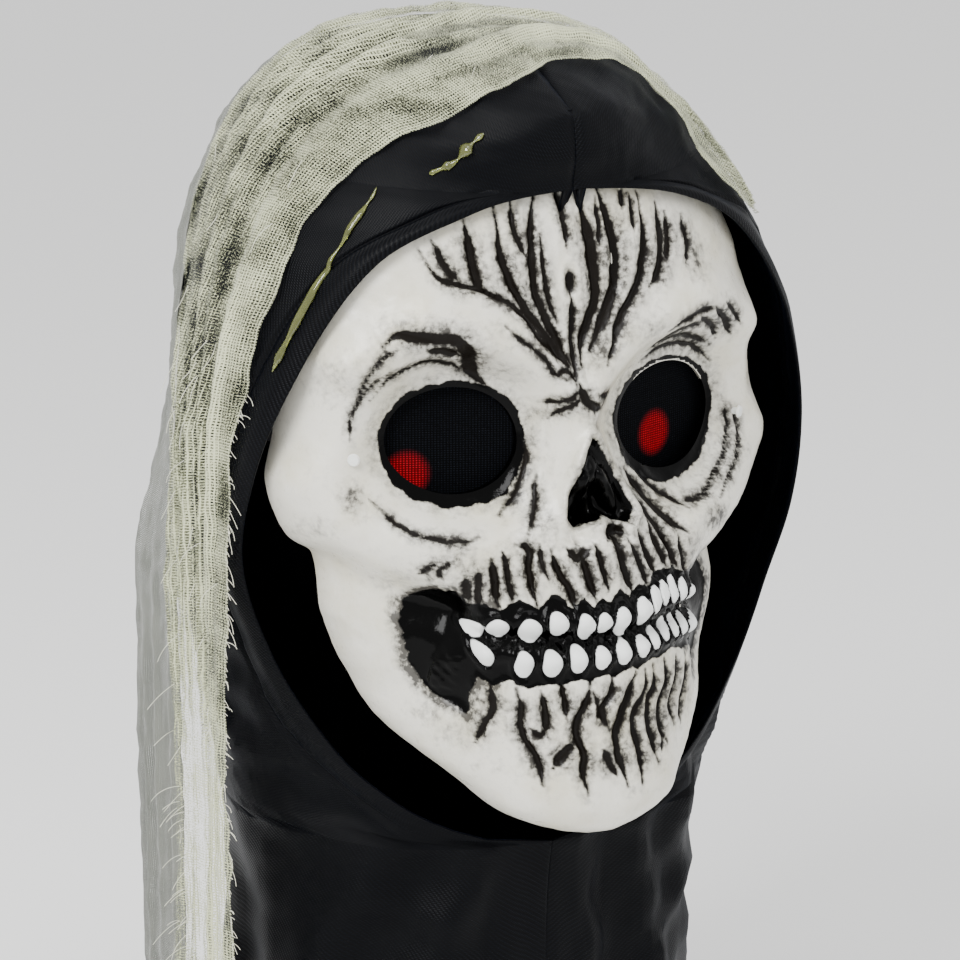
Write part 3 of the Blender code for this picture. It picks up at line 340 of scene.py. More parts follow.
# Grey patches, part antiquing wash and part painted shade beside the nose, under the brows and along the hood's
# edge over the forehead: centre x and z, half-width, half-height, strength
WASH_AND_SHADE_PATCHES = (
    (-86, -15, 5, 7, 0.75), (-78, -20, 4, 6, 0.35), (-90, 30, 9, 14, 0.3), (57, 66, 7, 9, 0.75),
    (47, 76, 4, 9, 0.6),
    (6, 40, 7, 9, 0.9), (-3, 36, 3, 9, 0.8), (12, 60, 6, 10, 0.5), (7, 18, 6, 4.5, 1.0), (-2, 22, 4, 4, 0.8),
    (-17, 13, 7, 3.5, 0.6), (-20, -18, 5, 9, 0.4), (-46, 66, 6, 5, 0.8), (-3, 65, 3, 6, 1.0),
    (19, -28, 7, 12, 0.6),
    (66, 43, 13, 9, 0.45), (-45, -44, 14, 8, 0.75), (-30, -45, 12, 7, 0.35), (44, -44, 12, 8, 0.7),
    (0, -42, 34, 8, 0.2), (-42, -95, 8, 10, 0.65), (-30, -105, 9, 14, 0.35), (-13, -110, 9, 16, 0.3),
    (10, -108, 12, 20, 0.4),
    (-50, -108, 9, 8, 0.45), (-60, -102, 6, 6, 0.4), (28, -100, 12, 18, 0.45), (42, -100, 10, 14, 0.4),
    (62, -36, 8, 6, 0.95), (-62, -46, 7, 4, 0.5), (-84, 10, 4, 12, 0.25), (-40, -120, 14, 5, 0.2),
    (-19, 0, 7, 14, 0.5), (-20, -26, 8, 8, 0.5), (18, 2, 5, 12, 0.45), (20, -16, 5, 10, 0.6),
    (3, 12, 5, 8, 0.55),
    (-30, 30, 10, 6, 0.45), (-36, 48, 16, 7, 0.35), (30, 44, 12, 8, 0.4), (-26, -34, 12, 5, 0.5),
    (-55, -38, 10, 6, 0.6),
    (-70, -50, 8, 10, 0.3), (-64, 52, 14, 6, 0.3), (-20, 84, 12, 12, 0.3), (22, 84, 12, 12, 0.35),
    (-50, 26, 20, 4, 0.25),
    (84, -16, 8, 5, 0.35), (-96, -30, 6, 8, 0.3), (94, 10, 5, 14, 0.3), (-4, 96, 40, 6, 0.3),
)


def eased(table, where):
    """Values of a table at the given positions, on a smooth curve through its rows."""
    table = np.array(table, float)
    at, values = table[:, 0], table[:, 1:]
    slopes = np.empty_like(values)
    for k in range(len(at)):
        low, high = max(k - 1, 0), min(k + 1, len(at) - 1)
        slopes[k] = (values[high] - values[low]) / (at[high] - at[low])
    where = np.clip(np.asarray(where, float), at[0], at[-1])
    i = np.clip(np.searchsorted(at, where) - 1, 0, len(at) - 2)
    step = (at[i + 1] - at[i])[..., None]
    u = (where - at[i])[..., None] / step
    start = (2 * u**3 - 3 * u**2 + 1) * values[i] + (u**3 - 2 * u**2 + u) * step * slopes[i]
    end = (3 * u**2 - 2 * u**3) * values[i + 1] + (u**3 - u**2) * step * slopes[i + 1]
    return np.moveaxis(start + end, -1, 0)


def normals_of(grid):
    across, down = np.gradient(grid, axis=1), np.gradient(grid, axis=0)
    normal = np.cross(across, down)
    return normal / np.linalg.norm(normal, axis=2, keepdims=True)


def bowl(across, down):
    """The face's plain shell, before brows, sockets and teeth."""
    mid_z, mid_depth, rim_x, rim_z, rim_depth, power = eased(FACE_STATIONS, down)
    angle = across * math.pi / 2
    depth = rim_depth - mid_depth
    reach = np.abs(np.sin(angle) / rim_x) ** power + np.abs(np.cos(angle) / depth) ** power
    reach = reach ** (-1 / power)
    x = reach * np.sin(angle)
    y = FACE_FRONT + rim_depth - reach * np.cos(angle)
    return np.stack([x, y, mid_z + (rim_z - mid_z) * (x / rim_x) ** 2], -1)


def path_reach(x, z, path):
    """Distance in mm to a polyline, and the share of its length at the nearest spot."""
    best, share = np.full(x.shape, 1e9), np.zeros(x.shape)
    count = len(path) - 1
    for k, ((ax, az), (bx, bz)) in enumerate(zip(path[:-1], path[1:])):
        length = max((bx - ax) ** 2 + (bz - az) ** 2, 1e-9)
        u = np.clip(((x - ax) * (bx - ax) + (z - az) * (bz - az)) / length, 0, 1)
        away = np.hypot(x - ax - u * (bx - ax), z - az - u * (bz - az))
        closer = away < best
        best[closer], share[closer] = away[closer], ((k + u) / count)[closer]
    return best, share


def sculpted_bands(x, z):
    """How far brows, cheekbones, sockets and lips stand out of the plain shell."""
    x = np.abs(x)
    height = np.zeros(x.shape)
    for path, half_width, rise in FACE_BANDS:
        height += rise * np.exp(-((path_reach(x, z, path)[0] / half_width) ** 2))
    z = z - EYE_Z
    socket = np.hypot((x - EYE_X) / (EYE_HALF_WIDTH + 9), z / (EYE_HALF_HEIGHT + 9))
    height -= SOCKET_DEPTH / (1 + np.exp((socket - 1.05) * 9))
    rim_x, rim_z = EYE_HALF_WIDTH + EYE_RIM / 2, EYE_HALF_HEIGHT + EYE_RIM / 2
    rim = (np.hypot((x - EYE_X) / rim_x, z / rim_z) - 1) * rim_z
    return height + 1.5 * np.exp(-((rim / EYE_RIM) ** 2))


def ripple(x, z, length, turn=0.0):
    """A smooth uneven field between about -1 and 1, repeatable, with the given length in mm."""
    u = (x * math.cos(turn) + z * math.sin(turn)) / length
    v = (z * math.cos(turn) - x * math.sin(turn)) / length
    first = np.sin(6.1 * u + 2.3 * np.sin(3.7 * v + 1.1)) * np.cos(5.3 * v + 1.9 * np.sin(4.1 * u + 0.4))
    return 0.6 * first + 0.4 * np.sin(11.3 * v + 2.9 * u + 1.7) * np.cos(9.7 * u - 1.3 * v)


def carve(x, z, cuts):
    """Depth, wash edge (mm inside the stained line) and soft halo, part wash and part painted shade, of a group
    of strokes.
    """
    depth, edge, wash_and_painted_shade = np.zeros(x.shape), np.full(x.shape, -9.0), np.zeros(x.shape)
    wobble_x = x + 0.4 * ripple(x, z, 24, 0.4)
    wobble_z = z + 0.4 * ripple(z, x, 21, 1.1)
    for points, half, deep in cuts:
        half, deep = half * 1.15 + 0.2, min(deep * 1.15, 2.3)
        table = [(k, *p) for k, p in enumerate(points)]
        line = np.array(eased(table, np.linspace(0, len(points) - 1, 5 * len(points)))).T
        low, high = line.min(0) - 9, line.max(0) + 9
        near = (x > low[0]) & (x < high[0]) & (z > low[1]) & (z < high[1])
        away, share = path_reach(wobble_x[near], wobble_z[near], line)
        taper = np.clip(np.minimum(share, 1 - share) / 0.2, 0.3, 1)
        width = half * taper
        cut = deep * taper * (
            np.exp(-((away / width) ** 2))
            - 0.35 * np.exp(-(((away - 2.6 * half) / (1.3 * half)) ** 2))
        )
        depth[near] += cut
        edge[near] = np.maximum(edge[near], width * 1.0 - away)
        # Soft halo round each stroke: part wash, part painted shade.
        wash_and_painted_shade[near] = np.maximum(wash_and_painted_shade[near], 0.75 * taper * np.exp(-((away / (3.0 * half)) ** 2)))
    return depth, edge, wash_and_painted_shade


def inside_by(x, z, outline):
    """Distance in mm to a closed outline, positive inside it."""
    ring = list(outline) + [outline[0]]
    away = path_reach(x, z, ring)[0]
    inside = np.zeros(x.shape, bool)
    for (ax, az), (bx, bz) in zip(ring[:-1], ring[1:]):
        if az == bz:
            continue
        crosses = (az > z) != (bz > z)
        inside ^= crosses & (x < (bx - ax) * (z - az) / (bz - az) + ax)
    return np.where(inside, away, -away)


def oval(x, z, centre_x, centre_z, width, height, lean=0.0):
    """1 on an oval's edge and 0 at its centre."""
    turn = math.radians(lean)
    u = (x - centre_x) * math.cos(turn) + (z - centre_z) * math.sin(turn)
    v = (z - centre_z) * math.cos(turn) - (x - centre_x) * math.sin(turn)
    return np.hypot(u / (width / 2), v / (height / 2))


def face_detail(x, z):
    """Fine relief in mm and the paint fields of the face at the given places."""
    height, groove, wash_and_painted_shade = np.zeros(x.shape), np.full(x.shape, -9.0), np.zeros(x.shape)
    for cuts in (FOREHEAD_CUTS, SOCKET_CUTS, JAW_CUTS):
        depth, edge, soft = carve(x, z, cuts)
        height -= depth
        groove, wash_and_painted_shade = np.maximum(groove, edge), np.maximum(wash_and_painted_shade, soft)
    leaf = oval(x, z, -3, 65, 5.5, 12)
    height -= 1.8 * np.exp(-((leaf / 0.8) ** 4)) - 0.6 * np.exp(-(((leaf - 1.35) / 0.3) ** 2))
    groove = np.maximum(groove, (0.75 - leaf) * 2.6)

    gum = inside_by(x, z, GUM_OUTLINE) + 0.7 * ripple(x, z, 9)
    black = gum.copy()
    height -= 1.3 / (1 + np.exp(-gum * 1.6))
    tooth = np.full(x.shape, -9.0)
    for centre_x, centre_z, width, tall, lean in TEETH:
        reach = oval(x, z, centre_x, centre_z, width * 1.03, tall * 1.04, lean)
        tooth = np.maximum(tooth, (1 - reach) * width / 2)
        height += 2.6 * np.sqrt(np.clip(1 - reach**2, 0, 1)) * (reach < 1)
        height += 1.0 * np.exp(-(((reach - 1.3) / 0.22) ** 2))
    lump = oval(x, z, -54.5, -84, 9, 26, -14)
    height += 2.6 * np.exp(-((lump / 0.9) ** 4)) + 0.5 * ripple(x, z, 7) * np.exp(-(lump**4))

    pit = inside_by(x, z, NOSE_PIT)
    height -= 7.0 / (1 + np.exp(-(pit - 0.8) * 1.5)) - 2.0 * np.exp(-(((pit + 2.3) / 1.6) ** 2))
    for swell in NOSE_SWELLS:
        reach = oval(x, z, *swell)
        height += 4.5 * np.clip(1 - reach**2, 0, 1) ** 0.7
    black = np.maximum(black, pit + 0.3)
    # Soft halo round the nose pit: part wash, part painted shade.
    wash_and_painted_shade = np.maximum(wash_and_painted_shade, 0.5 * np.exp(-((np.minimum(pit, 0) / 3.0) ** 2)))

    eye = np.hypot((np.abs(x) - EYE_X) / EYE_HALF_WIDTH, (z - EYE_Z) / EYE_HALF_HEIGHT)
    beyond = (eye - 1) * EYE_HALF_HEIGHT
    brushed = EYE_RIM - 0.9 + 0.9 * ripple(x, z, 17) + 2.2 * np.clip((EYE_Z - 6 - z) / 16, 0, 1)
    black = np.maximum(black, brushed - beyond)
    # Soft halos round the eye holes and the mouth corners: part wash, part painted shade in the hollows.
    wash_and_painted_shade = np.maximum(wash_and_painted_shade, 0.35 * np.exp(-((np.clip(beyond - 4, 0, None) / 4.0) ** 2)))
    wash_and_painted_shade = np.maximum(wash_and_painted_shade, 0.9 * np.exp(-((np.clip(-gum, 0, None) / 3.2) ** 2)) * (np.abs(x) > 40))
    # Listed patches: part wash, part painted shade beside the nose, under the brows and along the hood's edge
    # over the forehead.
    for centre_x, centre_z, half_x, half_z, strength in WASH_AND_SHADE_PATCHES:
        spot = np.hypot((x - centre_x) / half_x, (z - centre_z) / half_z)
        wash_and_painted_shade = np.maximum(wash_and_painted_shade, strength * np.exp(-(spot**2)) * (0.75 + 0.25 * ripple(x, z, 8)))
    plain = np.exp(-((np.clip(3 - beyond, 0, None) / 2) ** 2))
    height += plain * (
        0.35 * ripple(x, z, 42, 0.7) + 0.14 * ripple(x, z, 15, 0.2) + 0.05 * ripple(x, z, 5.5, 1.3)
    )
    return height, groove, np.clip(wash_and_painted_shade, 0, 1), black, tooth


def closed_shell(outer, inner, step):
    """Points and faces of a wall whose back grid has one point for each step of the front's."""
    rows, columns = outer.shape[:2]
    front = np.arange(rows * columns).reshape(rows, columns)
    behind = front.size + np.arange(inner.shape[0] * inner.shape[1]).reshape(inner.shape[:2])
    faces = [
        (front[r, c], front[r + 1, c], front[r + 1, c + 1], front[r, c + 1])
        for r in range(rows - 1) for c in range(columns - 1)
    ]
    faces += [
        (behind[r, c], behind[r, c + 1], behind[r + 1, c + 1], behind[r + 1, c])
        for r in range(inner.shape[0] - 1) for c in range(inner.shape[1] - 1)
    ]
    for fine, coarse, flip in (
        (front[0], behind[0], False), (front[-1], behind[-1], True),
        (front[:, 0], behind[:, 0], True), (front[:, -1], behind[:, -1], False),
    ):
        for k in range(len(coarse) - 1):
            ring = [*fine[k * step : (k + 1) * step + 1], coarse[k + 1], coarse[k]]
            faces.append(tuple(ring[::-1] if flip else ring))
    points = np.concatenate([outer.reshape(-1, 3), inner.reshape(-1, 3)])
    return points, [tuple(int(v) for v in face) for face in faces]


def mesh_object(name, points, faces):
    """An object at the origin from points in millimetres."""
    mesh = bpy.data.meshes.new(name)
    mesh.from_pydata([tuple(p) for p in np.asarray(points) * 0.001], [], faces)
    mesh.validate()
    made = bpy.data.objects.new(name, mesh)
    bpy.context.scene.collection.objects.link(made)
    return made


def face_outwards(item):
    """Turns a closed mesh's faces out."""
    work = bmesh.new()
    work.from_mesh(item.data)
    if work.calc_volume(signed=True) < 0:
        bmesh.ops.reverse_faces(work, faces=work.faces)
    work.to_mesh(item.data)
    work.free()


def write_field(item, name, values):
    field = item.data.attributes.new(name, "FLOAT", "POINT")
    field.data.foreach_set("value", np.asarray(values, np.float32))


def read_field(item, name):
    values = np.empty(len(item.data.vertices), np.float32)
    item.data.attributes[name].data.foreach_get("value", values)
    return values


def places_of(item):
    """Vertex places in millimetres."""
    places = np.empty(len(item.data.vertices) * 3, np.float32)
    item.data.vertices.foreach_get("co", places)
    return places.reshape(-1, 3) * 1000


s_share, t_share = np.linspace(-1, 1, FACE_COLUMNS + 1), np.linspace(0, 1, FACE_ROWS + 1)
across, down = np.meshgrid(0.62 * s_share + 0.38 * s_share**3, t_share)
plain = bowl(across, down)
out = normals_of(plain)
if out[FACE_ROWS // 2, FACE_COLUMNS // 2, 1] > 0:
    out = -out
coarse = plain + out * sculpted_bands(plain[..., 0], plain[..., 2])[..., None]
detail, groove, wash_and_painted_shade, black, tooth = face_detail(coarse[..., 0], coarse[..., 2])
outer = coarse + out * detail[..., None]
sunk = np.minimum(detail, 0)
for axis in (0, 1):
    for shift in (-2, 2, -3, 3):
        sunk = np.minimum(sunk, np.roll(sunk, shift, axis))
inner = (coarse + out * (np.where(sunk < -3, sunk, 0) - FACE_WALL)[..., None])[::INNER_SHARE, ::INNER_SHARE]
face = mesh_object("skull_face", *closed_shell(outer, inner, INNER_SHARE))
face_outwards(face)
backs = np.full(inner.shape[0] * inner.shape[1], -9.0)
for field_name, values in (("groove", groove), ("black", black), ("tooth", tooth)):
    write_field(face, field_name, np.concatenate([values.reshape(-1), backs]))
# The soft halo field is part wash and part painted shade.
write_field(face, "wash_and_painted_shade", np.concatenate([wash_and_painted_shade.reshape(-1), backs * 0]))


def oval_cutter(side):
    """A tall oval cylinder along Y through one eye."""
    deselect()
    bpy.ops.mesh.primitive_cylinder_add(
        vertices=128, radius=0.001, depth=0.1, location=(
            side * EYE_X * 0.001, -0.1, EYE_Z * 0.001,
        ), rotation=(math.pi / 2, 0, 0),
    )
    tool = bpy.context.object
    tool.scale = (EYE_HALF_WIDTH, EYE_HALF_HEIGHT, 1)
    bpy.ops.object.transform_apply(location=True, rotation=True, scale=True)
    return tool


def apply_all(item):
    """Applies every modifier, in order."""
    deselect()
    item.select_set(True)
    bpy.context.view_layer.objects.active = item
    for modifier in list(item.modifiers):
        bpy.ops.object.modifier_apply(modifier=modifier.name)


for side in (-1, 1):
    tool = oval_cutter(side)
    cut = face.modifiers.new("eye_hole", "BOOLEAN")
    cut.operation, cut.solver, cut.object = "DIFFERENCE", "EXACT", tool
    apply_all(face)
    bpy.data.objects.remove(tool, do_unlink=True)

places = places_of(face)
on_wall = np.hypot(
    (np.abs(places[:, 0]) - EYE_X) / EYE_HALF_WIDTH, (places[:, 2] - EYE_Z) / EYE_HALF_HEIGHT,
) < 1.012
values = read_field(face, "black")
bare = on_wall & (places[:, 0] > EYE_X - 16) & (places[:, 2] > EYE_Z + 9)
face.data.attributes["black"].data.foreach_set(
    "value", np.where(bare, -3, np.where(on_wall, 4.0, values)).astype(np.float32),
)
deselect()
face.select_set(True)
bpy.context.view_layer.objects.active = face
bpy.ops.object.shade_smooth_by_angle(angle=math.radians(50))

# Painted vinyl: a bone spray with faint yellow and grey drifts, a brown-black wash that was wiped off the high
# spots and stays ragged at its edges, and a clear satin lacquer over all. Soft grey-brown halos, part wash and
# part painted shade in the hollows and under the hood's edge, darken the bone round the grooves, nose, eyes and
# mouth.
BONE, BONE_WARM, BONE_GREY = "#DBD8CC", "#C6C0A6", "#A8A69C"
WASH, GLOSS_BLACK, TOOTH_WHITE = "#110E0B", "#010101", "#E6E8E6"

vinyl, tree, shader = finish_named("painted_moulded_vinyl", BONE, 0.3, IOR=1.5)
spot = add_node(tree, "TexCoord").outputs["Object"]
drift = add_node(tree, "TexNoise", {"Vector": spot, "Scale": 34.0, "Detail": 5.0, "Roughness": 0.6})
mottle = add_node(tree, "TexNoise", {"Vector": spot, "Scale": 210.0, "Detail": 4.0, "Roughness": 0.65})
bristle = add_node(tree, "TexNoise", {"Vector": spot, "Scale": 420.0, "Detail": 3.0, "Roughness": 0.6})
warm = add_node(
    tree, "MapRange", {"Value": drift.outputs["Fac"], "From Min": 0.46, "From Max": 0.72, "To Max": 0.75},
)
bone = add_node(tree, "MixRGB", {"Fac": warm.outputs[0], "Color1": linear(BONE), "Color2": linear(BONE_WARM)})
scuff = add_node(
    tree, "MapRange", {"Value": mottle.outputs["Fac"], "From Min": 0.56, "From Max": 0.78, "To Max": 0.4},
)
bone = add_node(
    tree, "MixRGB", {"Fac": scuff.outputs[0], "Color1": bone.outputs[0], "Color2": linear(BONE_GREY)},
)

# Soft grey-brown halos: part wash, part painted shade in hollows and under the hood's edge.
wash_and_shade_field = add_node(tree, "Attribute", attribute_name="wash_and_painted_shade").outputs["Fac"]
broken = add_node(tree, "Math", {0: wash_and_shade_field, 1: mottle.outputs["Fac"]}, operation="MULTIPLY")
broken = add_node(tree, "Math", {0: broken.outputs[0], 1: bristle.outputs["Fac"]}, operation="MULTIPLY")
wash_and_shade_smear = add_node(
    tree, "MapRange", {"Value": broken.outputs[0], "From Min": 0.02, "From Max": 0.2, "To Max": 0.93},
)
bone = add_node(
    tree, "MixRGB", {"Fac": wash_and_shade_smear.outputs[0], "Color1": bone.outputs[0], "Color2": linear("#1E1A15")},
)

groove_field = add_node(tree, "Attribute", attribute_name="groove").outputs["Fac"]
rag = add_node(
    tree, "MapRange",
    {"Value": bristle.outputs["Fac"], "From Min": 0.3, "From Max": 0.7, "To Min": -0.3, "To Max": 0.3},
)
ragged = add_node(tree, "Math", {0: groove_field, 1: rag.outputs[0]}, operation="ADD")
lined = add_node(tree, "MapRange", {"Value": ragged.outputs[0], "From Min": -0.65, "From Max": 0.4})
bone = add_node(tree, "MixRGB", {"Fac": lined.outputs[0], "Color1": bone.outputs[0], "Color2": linear(WASH)})

black_field = add_node(tree, "Attribute", attribute_name="black").outputs["Fac"]
dabbed = add_node(tree, "Math", {0: black_field, 1: rag.outputs[0]}, operation="ADD")
blacked = add_node(tree, "MapRange", {"Value": dabbed.outputs[0], "From Min": -0.3, "From Max": 0.3})
bone = add_node(
    tree, "MixRGB", {"Fac": blacked.outputs[0], "Color1": bone.outputs[0], "Color2": linear(GLOSS_BLACK)},
)

tooth_field = add_node(tree, "Attribute", attribute_name="tooth").outputs["Fac"]
whited = add_node(tree, "MapRange", {"Value": tooth_field, "From Min": 0.0, "From Max": 0.25})
bone = add_node(
    tree, "MixRGB", {"Fac": whited.outputs[0], "Color1": bone.outputs[0], "Color2": linear(TOOTH_WHITE)},
)
tree.links.new(bone.outputs[0], shader.inputs["Base Color"])

polish = add_node(
    tree, "MapRange",
    {"Value": mottle.outputs["Fac"], "From Min": 0.3, "From Max": 0.7, "To Min": 0.24, "To Max": 0.4},
)
polish = add_node(
    tree, "MixRGB",
    {"Fac": blacked.outputs[0], "Color1": polish.outputs[0], "Color2": (0.12, 0.12, 0.12, 1)},
)
tree.links.new(polish.outputs[0], shader.inputs["Roughness"])
glint = add_node(tree, "Math", {0: blacked.outputs[0], 1: lined.outputs[0]}, operation="MAXIMUM")
glint = add_node(tree, "MapRange", {"Value": glint.outputs[0], "To Min": 0.45, "To Max": 0.08})
tree.links.new(glint.outputs[0], shader.inputs["Specular IOR Level"])
orange_peel = add_node(tree, "Bump", {"Height": mottle.outputs["Fac"], "Strength": 0.25, "Distance": 0.0006})
brushed = add_node(
    tree, "Bump",
    {
        "Height": bristle.outputs["Fac"], "Strength": 0.12, "Distance": 0.0004,
        "Normal": orange_peel.outputs[0],
    },
)
tree.links.new(brushed.outputs[0], shader.inputs["Normal"])
face.data.materials.clear()
face.data.materials.append(vinyl)
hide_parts("skull_shell")
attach(face, "mask")

# ---------------------------------------------------------------- eye patches
# Each eye is backed by an oval of black polyester knit that the wearer sees through. It is glued behind the wall.
# The red LED light in the loops is a painted glow: soft red emission discs on the knit, not lined up with the
# LEDs behind it.

KNIT_PITCH = 0.00115
# Centres and radius of the painted LED glow on the knit, in metres.
PAINTED_GLOW_SPOTS = ((-0.0610, -0.0855, -0.0100), (0.0455, -0.0905, -0.0045))
PAINTED_GLOW_RADIUS = 0.0105


def wave_scale(pitch):
    """The Wave texture scale that repeats at the given distance in metres."""
    return 2 * math.pi / 20 / pitch


def dress(node_name, material):
    """Gives a CAD piece its finish."""
    item = frame["nodes"][node_name]
    item.data.materials.clear()
    item.data.materials.append(material)
    return item


knit, tree, shader = finish_named("black_polyester_knit", "#07080B", 0.8, Specular_IOR_Level=0.04)
place = add_node(tree, "TexCoord").outputs["Object"]
across_loops = add_node(
    tree, "TexWave", {"Vector": place, "Scale": wave_scale(KNIT_PITCH), "Distortion": 0.6},
    bands_direction="X",
)
down_loops = add_node(
    tree, "TexWave", {"Vector": place, "Scale": wave_scale(KNIT_PITCH * 0.8), "Distortion": 0.6},
    bands_direction="Z",
)
loops = add_node(
    tree, "Math", {0: across_loops.outputs["Fac"], 1: down_loops.outputs["Fac"]}, operation="MULTIPLY",
)
slub = add_node(tree, "TexNoise", {"Vector": place, "Scale": 900.0, "Detail": 2.0})
loops = add_node(tree, "Math", {0: loops.outputs[0], 1: slub.outputs["Fac"]}, operation="MULTIPLY")
yarn = add_node(
    tree, "MixRGB", {"Fac": loops.outputs[0], "Color1": linear("#010101"), "Color2": linear("#191D25")},
)
tree.links.new(yarn.outputs[0], shader.inputs["Base Color"])
# Painted glow: red emission in soft discs, stronger on the loops, stands in for the LED light seen through the
# knit.
painted_glow = None
for centre in PAINTED_GLOW_SPOTS:
    away = add_node(tree, "VectorMath", {0: place, 1: centre}, operation="DISTANCE").outputs["Value"]
    spot = add_node(
        tree, "MapRange", {"Value": away, "From Min": PAINTED_GLOW_RADIUS, "From Max": PAINTED_GLOW_RADIUS * 0.55},
        interpolation_type="SMOOTHSTEP",
    )
    painted_glow = spot if painted_glow is None else add_node(
        tree, "Math", {0: painted_glow.outputs[0], 1: spot.outputs[0]}, operation="ADD",
    )
lit = add_node(
    tree, "MapRange",
    {"Value": loops.outputs[0], "From Min": 0.0, "From Max": 0.35, "To Min": 0.07, "To Max": 0.62},
)
power = add_node(tree, "Math", {0: painted_glow.outputs[0], 1: lit.outputs[0]}, operation="MULTIPLY")
shader.inputs["Emission Color"].default_value = linear("#F00820")
tree.links.new(power.outputs[0], shader.inputs["Emission Strength"])
relief_bump = add_node(tree, "Bump", {"Height": loops.outputs[0], "Strength": 0.7, "Distance": 0.0004})
tree.links.new(relief_bump.outputs[0], shader.inputs["Normal"])
for node_name in ("eye_mesh_right", "eye_mesh_left"):
    dress(node_name, knit)

# ---------------------------------------------------------------- hood
# Two panels of black polyester satin, sewn together over the crown and down the back. The
# cloth is turned in along the face as a 20 mm stitched hem, and it hangs open at the neck.

HOOD_THICKNESS = 1.0
SEAM_GAP = 0.0
HEM_WIDTH = 19.0
HOOD_LEFT_FULLNESS = 1.07
HOOD_COLUMNS, HOOD_ROWS = 84, 150
# From the crown seam down: level, side z, half-width, y of the widest point, front z, front y on
# the right and on the left, back z, back y
HOOD_RINGS = (
    (0.00, 152, 0.5, -20, 131, -103, -103, 140, 62), (0.07, 146, 45, -18, 127, -107, -107, 127, 87),
    (0.14, 129, 74, -16, 113, -109, -109, 107, 101), (0.21, 105, 95, -18, 100, -107, -107, 79, 108),
    (0.28, 70, 112, -22, 80, -115, -118, 42, 110), (0.36, 25, 120, -25, 30, -128, -140, 2, 108),
    (0.44, -12, 122, -26, -10, -134, -160, -34, 104), (0.52, -48, 120, -22, -50, -134, -158, -66, 99),
    (0.60, -84, 112, -14, -95, -124, -140, -96, 96), (0.68, -120, 103, -5, -132, -108, -112, -128, 95),
    (0.76, -160, 96, 2, -166, -91, -91, -163, 95), (0.85, -215, 94, 5, -217, -86, -86, -216, 96),
    (1.00, -335, 101, 6, -335, -93, -93, -335, 103),
)
# y of the face edge at each level, right then left
HOOD_EDGE = (
    (0.21, -107, -107), (0.225, -104, -104), (0.25, -100, -98), (0.28, -91, -89), (0.36, -75, -75),
    (0.44, -62, -72), (0.52, -52, -67), (0.60, -54, -62), (0.68, -66, -72), (0.74, -82, -84),
    (0.76, -90, -90),
)
# Long soft folds: start and end as (x, z) seen from the front, half-width and rise in mm
HOOD_FOLDS = (
    ((-62, -150), (-84, -250), 9, 5.0), ((-30, -165), (-66, -290), 10, 4.5),
    ((-12, -170), (-20, -300), 9, 4.0),
    ((14, -165), (30, -310), 10, 4.5), ((40, -150), (58, -280), 9, 5.0), ((66, -140), (84, -270), 9, 4.5),
    ((-96, -70), (-98, -200), 8, 4.0), ((98, -60), (96, -190), 8, 4.0), ((-90, -120), (-40, -170), 7, 3.0),
    ((88, -110), (36, -165), 7, 3.0), ((-40, -200), (-80, -180), 7, 3.0), ((-50, -230), (-10, -215), 7, 2.5),
    ((110, 20), (112, -60), 7, 2.5), ((60, -215), (90, -195), 7, 2.5), ((-4, -240), (-50, -330), 9, 4.0),
    ((100, 60), (80, 100), 6, 1.8), ((70, 112), (40, 122), 5, 1.5),
)


def hood_ring(level, side):
    side_z, half, mid_y, front_z, front_right, front_left, back_z, back_y = eased(HOOD_RINGS, level)
    return side_z, half, mid_y, front_z, front_right if side < 0 else front_left, back_z, back_y


def edge_angle(level, side):
    """The angle from straight ahead at which a ring's cloth starts."""
    if level <= HOOD_EDGE[0][0] or level >= HOOD_EDGE[-1][0]:
        return 0.0
    edge = float(eased(HOOD_EDGE, level)[0 if side < 0 else 1])
    _, _, mid_y, _, front, _, _ = hood_ring(level, side)
    return math.acos(min(1.0, max(0.0, float((mid_y - edge) / (mid_y - front)))))


def hood_point(level, angle, side):
    side_z, half, mid_y, front_z, front, back_z, back_y = hood_ring(level, side)
    ahead, behind = np.clip(np.cos(angle), 0, 1), np.clip(-np.cos(angle), 0, 1)
    share = np.interp(level, (0.0, 0.14, 0.34), (-0.7, -0.9, 1.0)) if side > 0 else 0
    x = half * np.sin(angle) * (1 + (HOOD_LEFT_FULLNESS - 1) * share)
    y = mid_y - (mid_y - front) * ahead + (back_y - mid_y) * behind
    z = side_z + (front_z - side_z) * ahead**2 + (back_z - side_z) * behind**2
    return np.stack([side * (SEAM_GAP / 2 + x), y, z], -1)


def hood_grid(side):
    """The panel's outer skin, with the run in mm from its front edge at each point."""
    crown = np.linspace(0, 0.21, 34)
    brow = 0.21 + 0.07 * np.linspace(0, 1, 26)[1:] ** 2
    levels = np.concatenate([crown, brow, np.linspace(0.28, 1, HOOD_ROWS - len(crown) - len(brow) + 1)[1:]])
    shares = np.concatenate([np.linspace(0, 0.1, 33), np.linspace(0.1, 1, HOOD_COLUMNS - 31)[1:]])
    starts = np.array([edge_angle(level, side) for level in levels])[:, None]
    angles = starts + (math.pi - starts) * shares
    grid = hood_point(np.repeat(levels[:, None], HOOD_COLUMNS + 1, axis=1), angles, side)
    grid[..., 0] = side * np.maximum(side * grid[..., 0], SEAM_GAP / 2)
    steps = np.linalg.norm(np.diff(grid, axis=1), axis=2)
    run = np.concatenate([np.zeros((len(grid), 1)), np.cumsum(steps, axis=1)], axis=1)
    return grid, run, levels


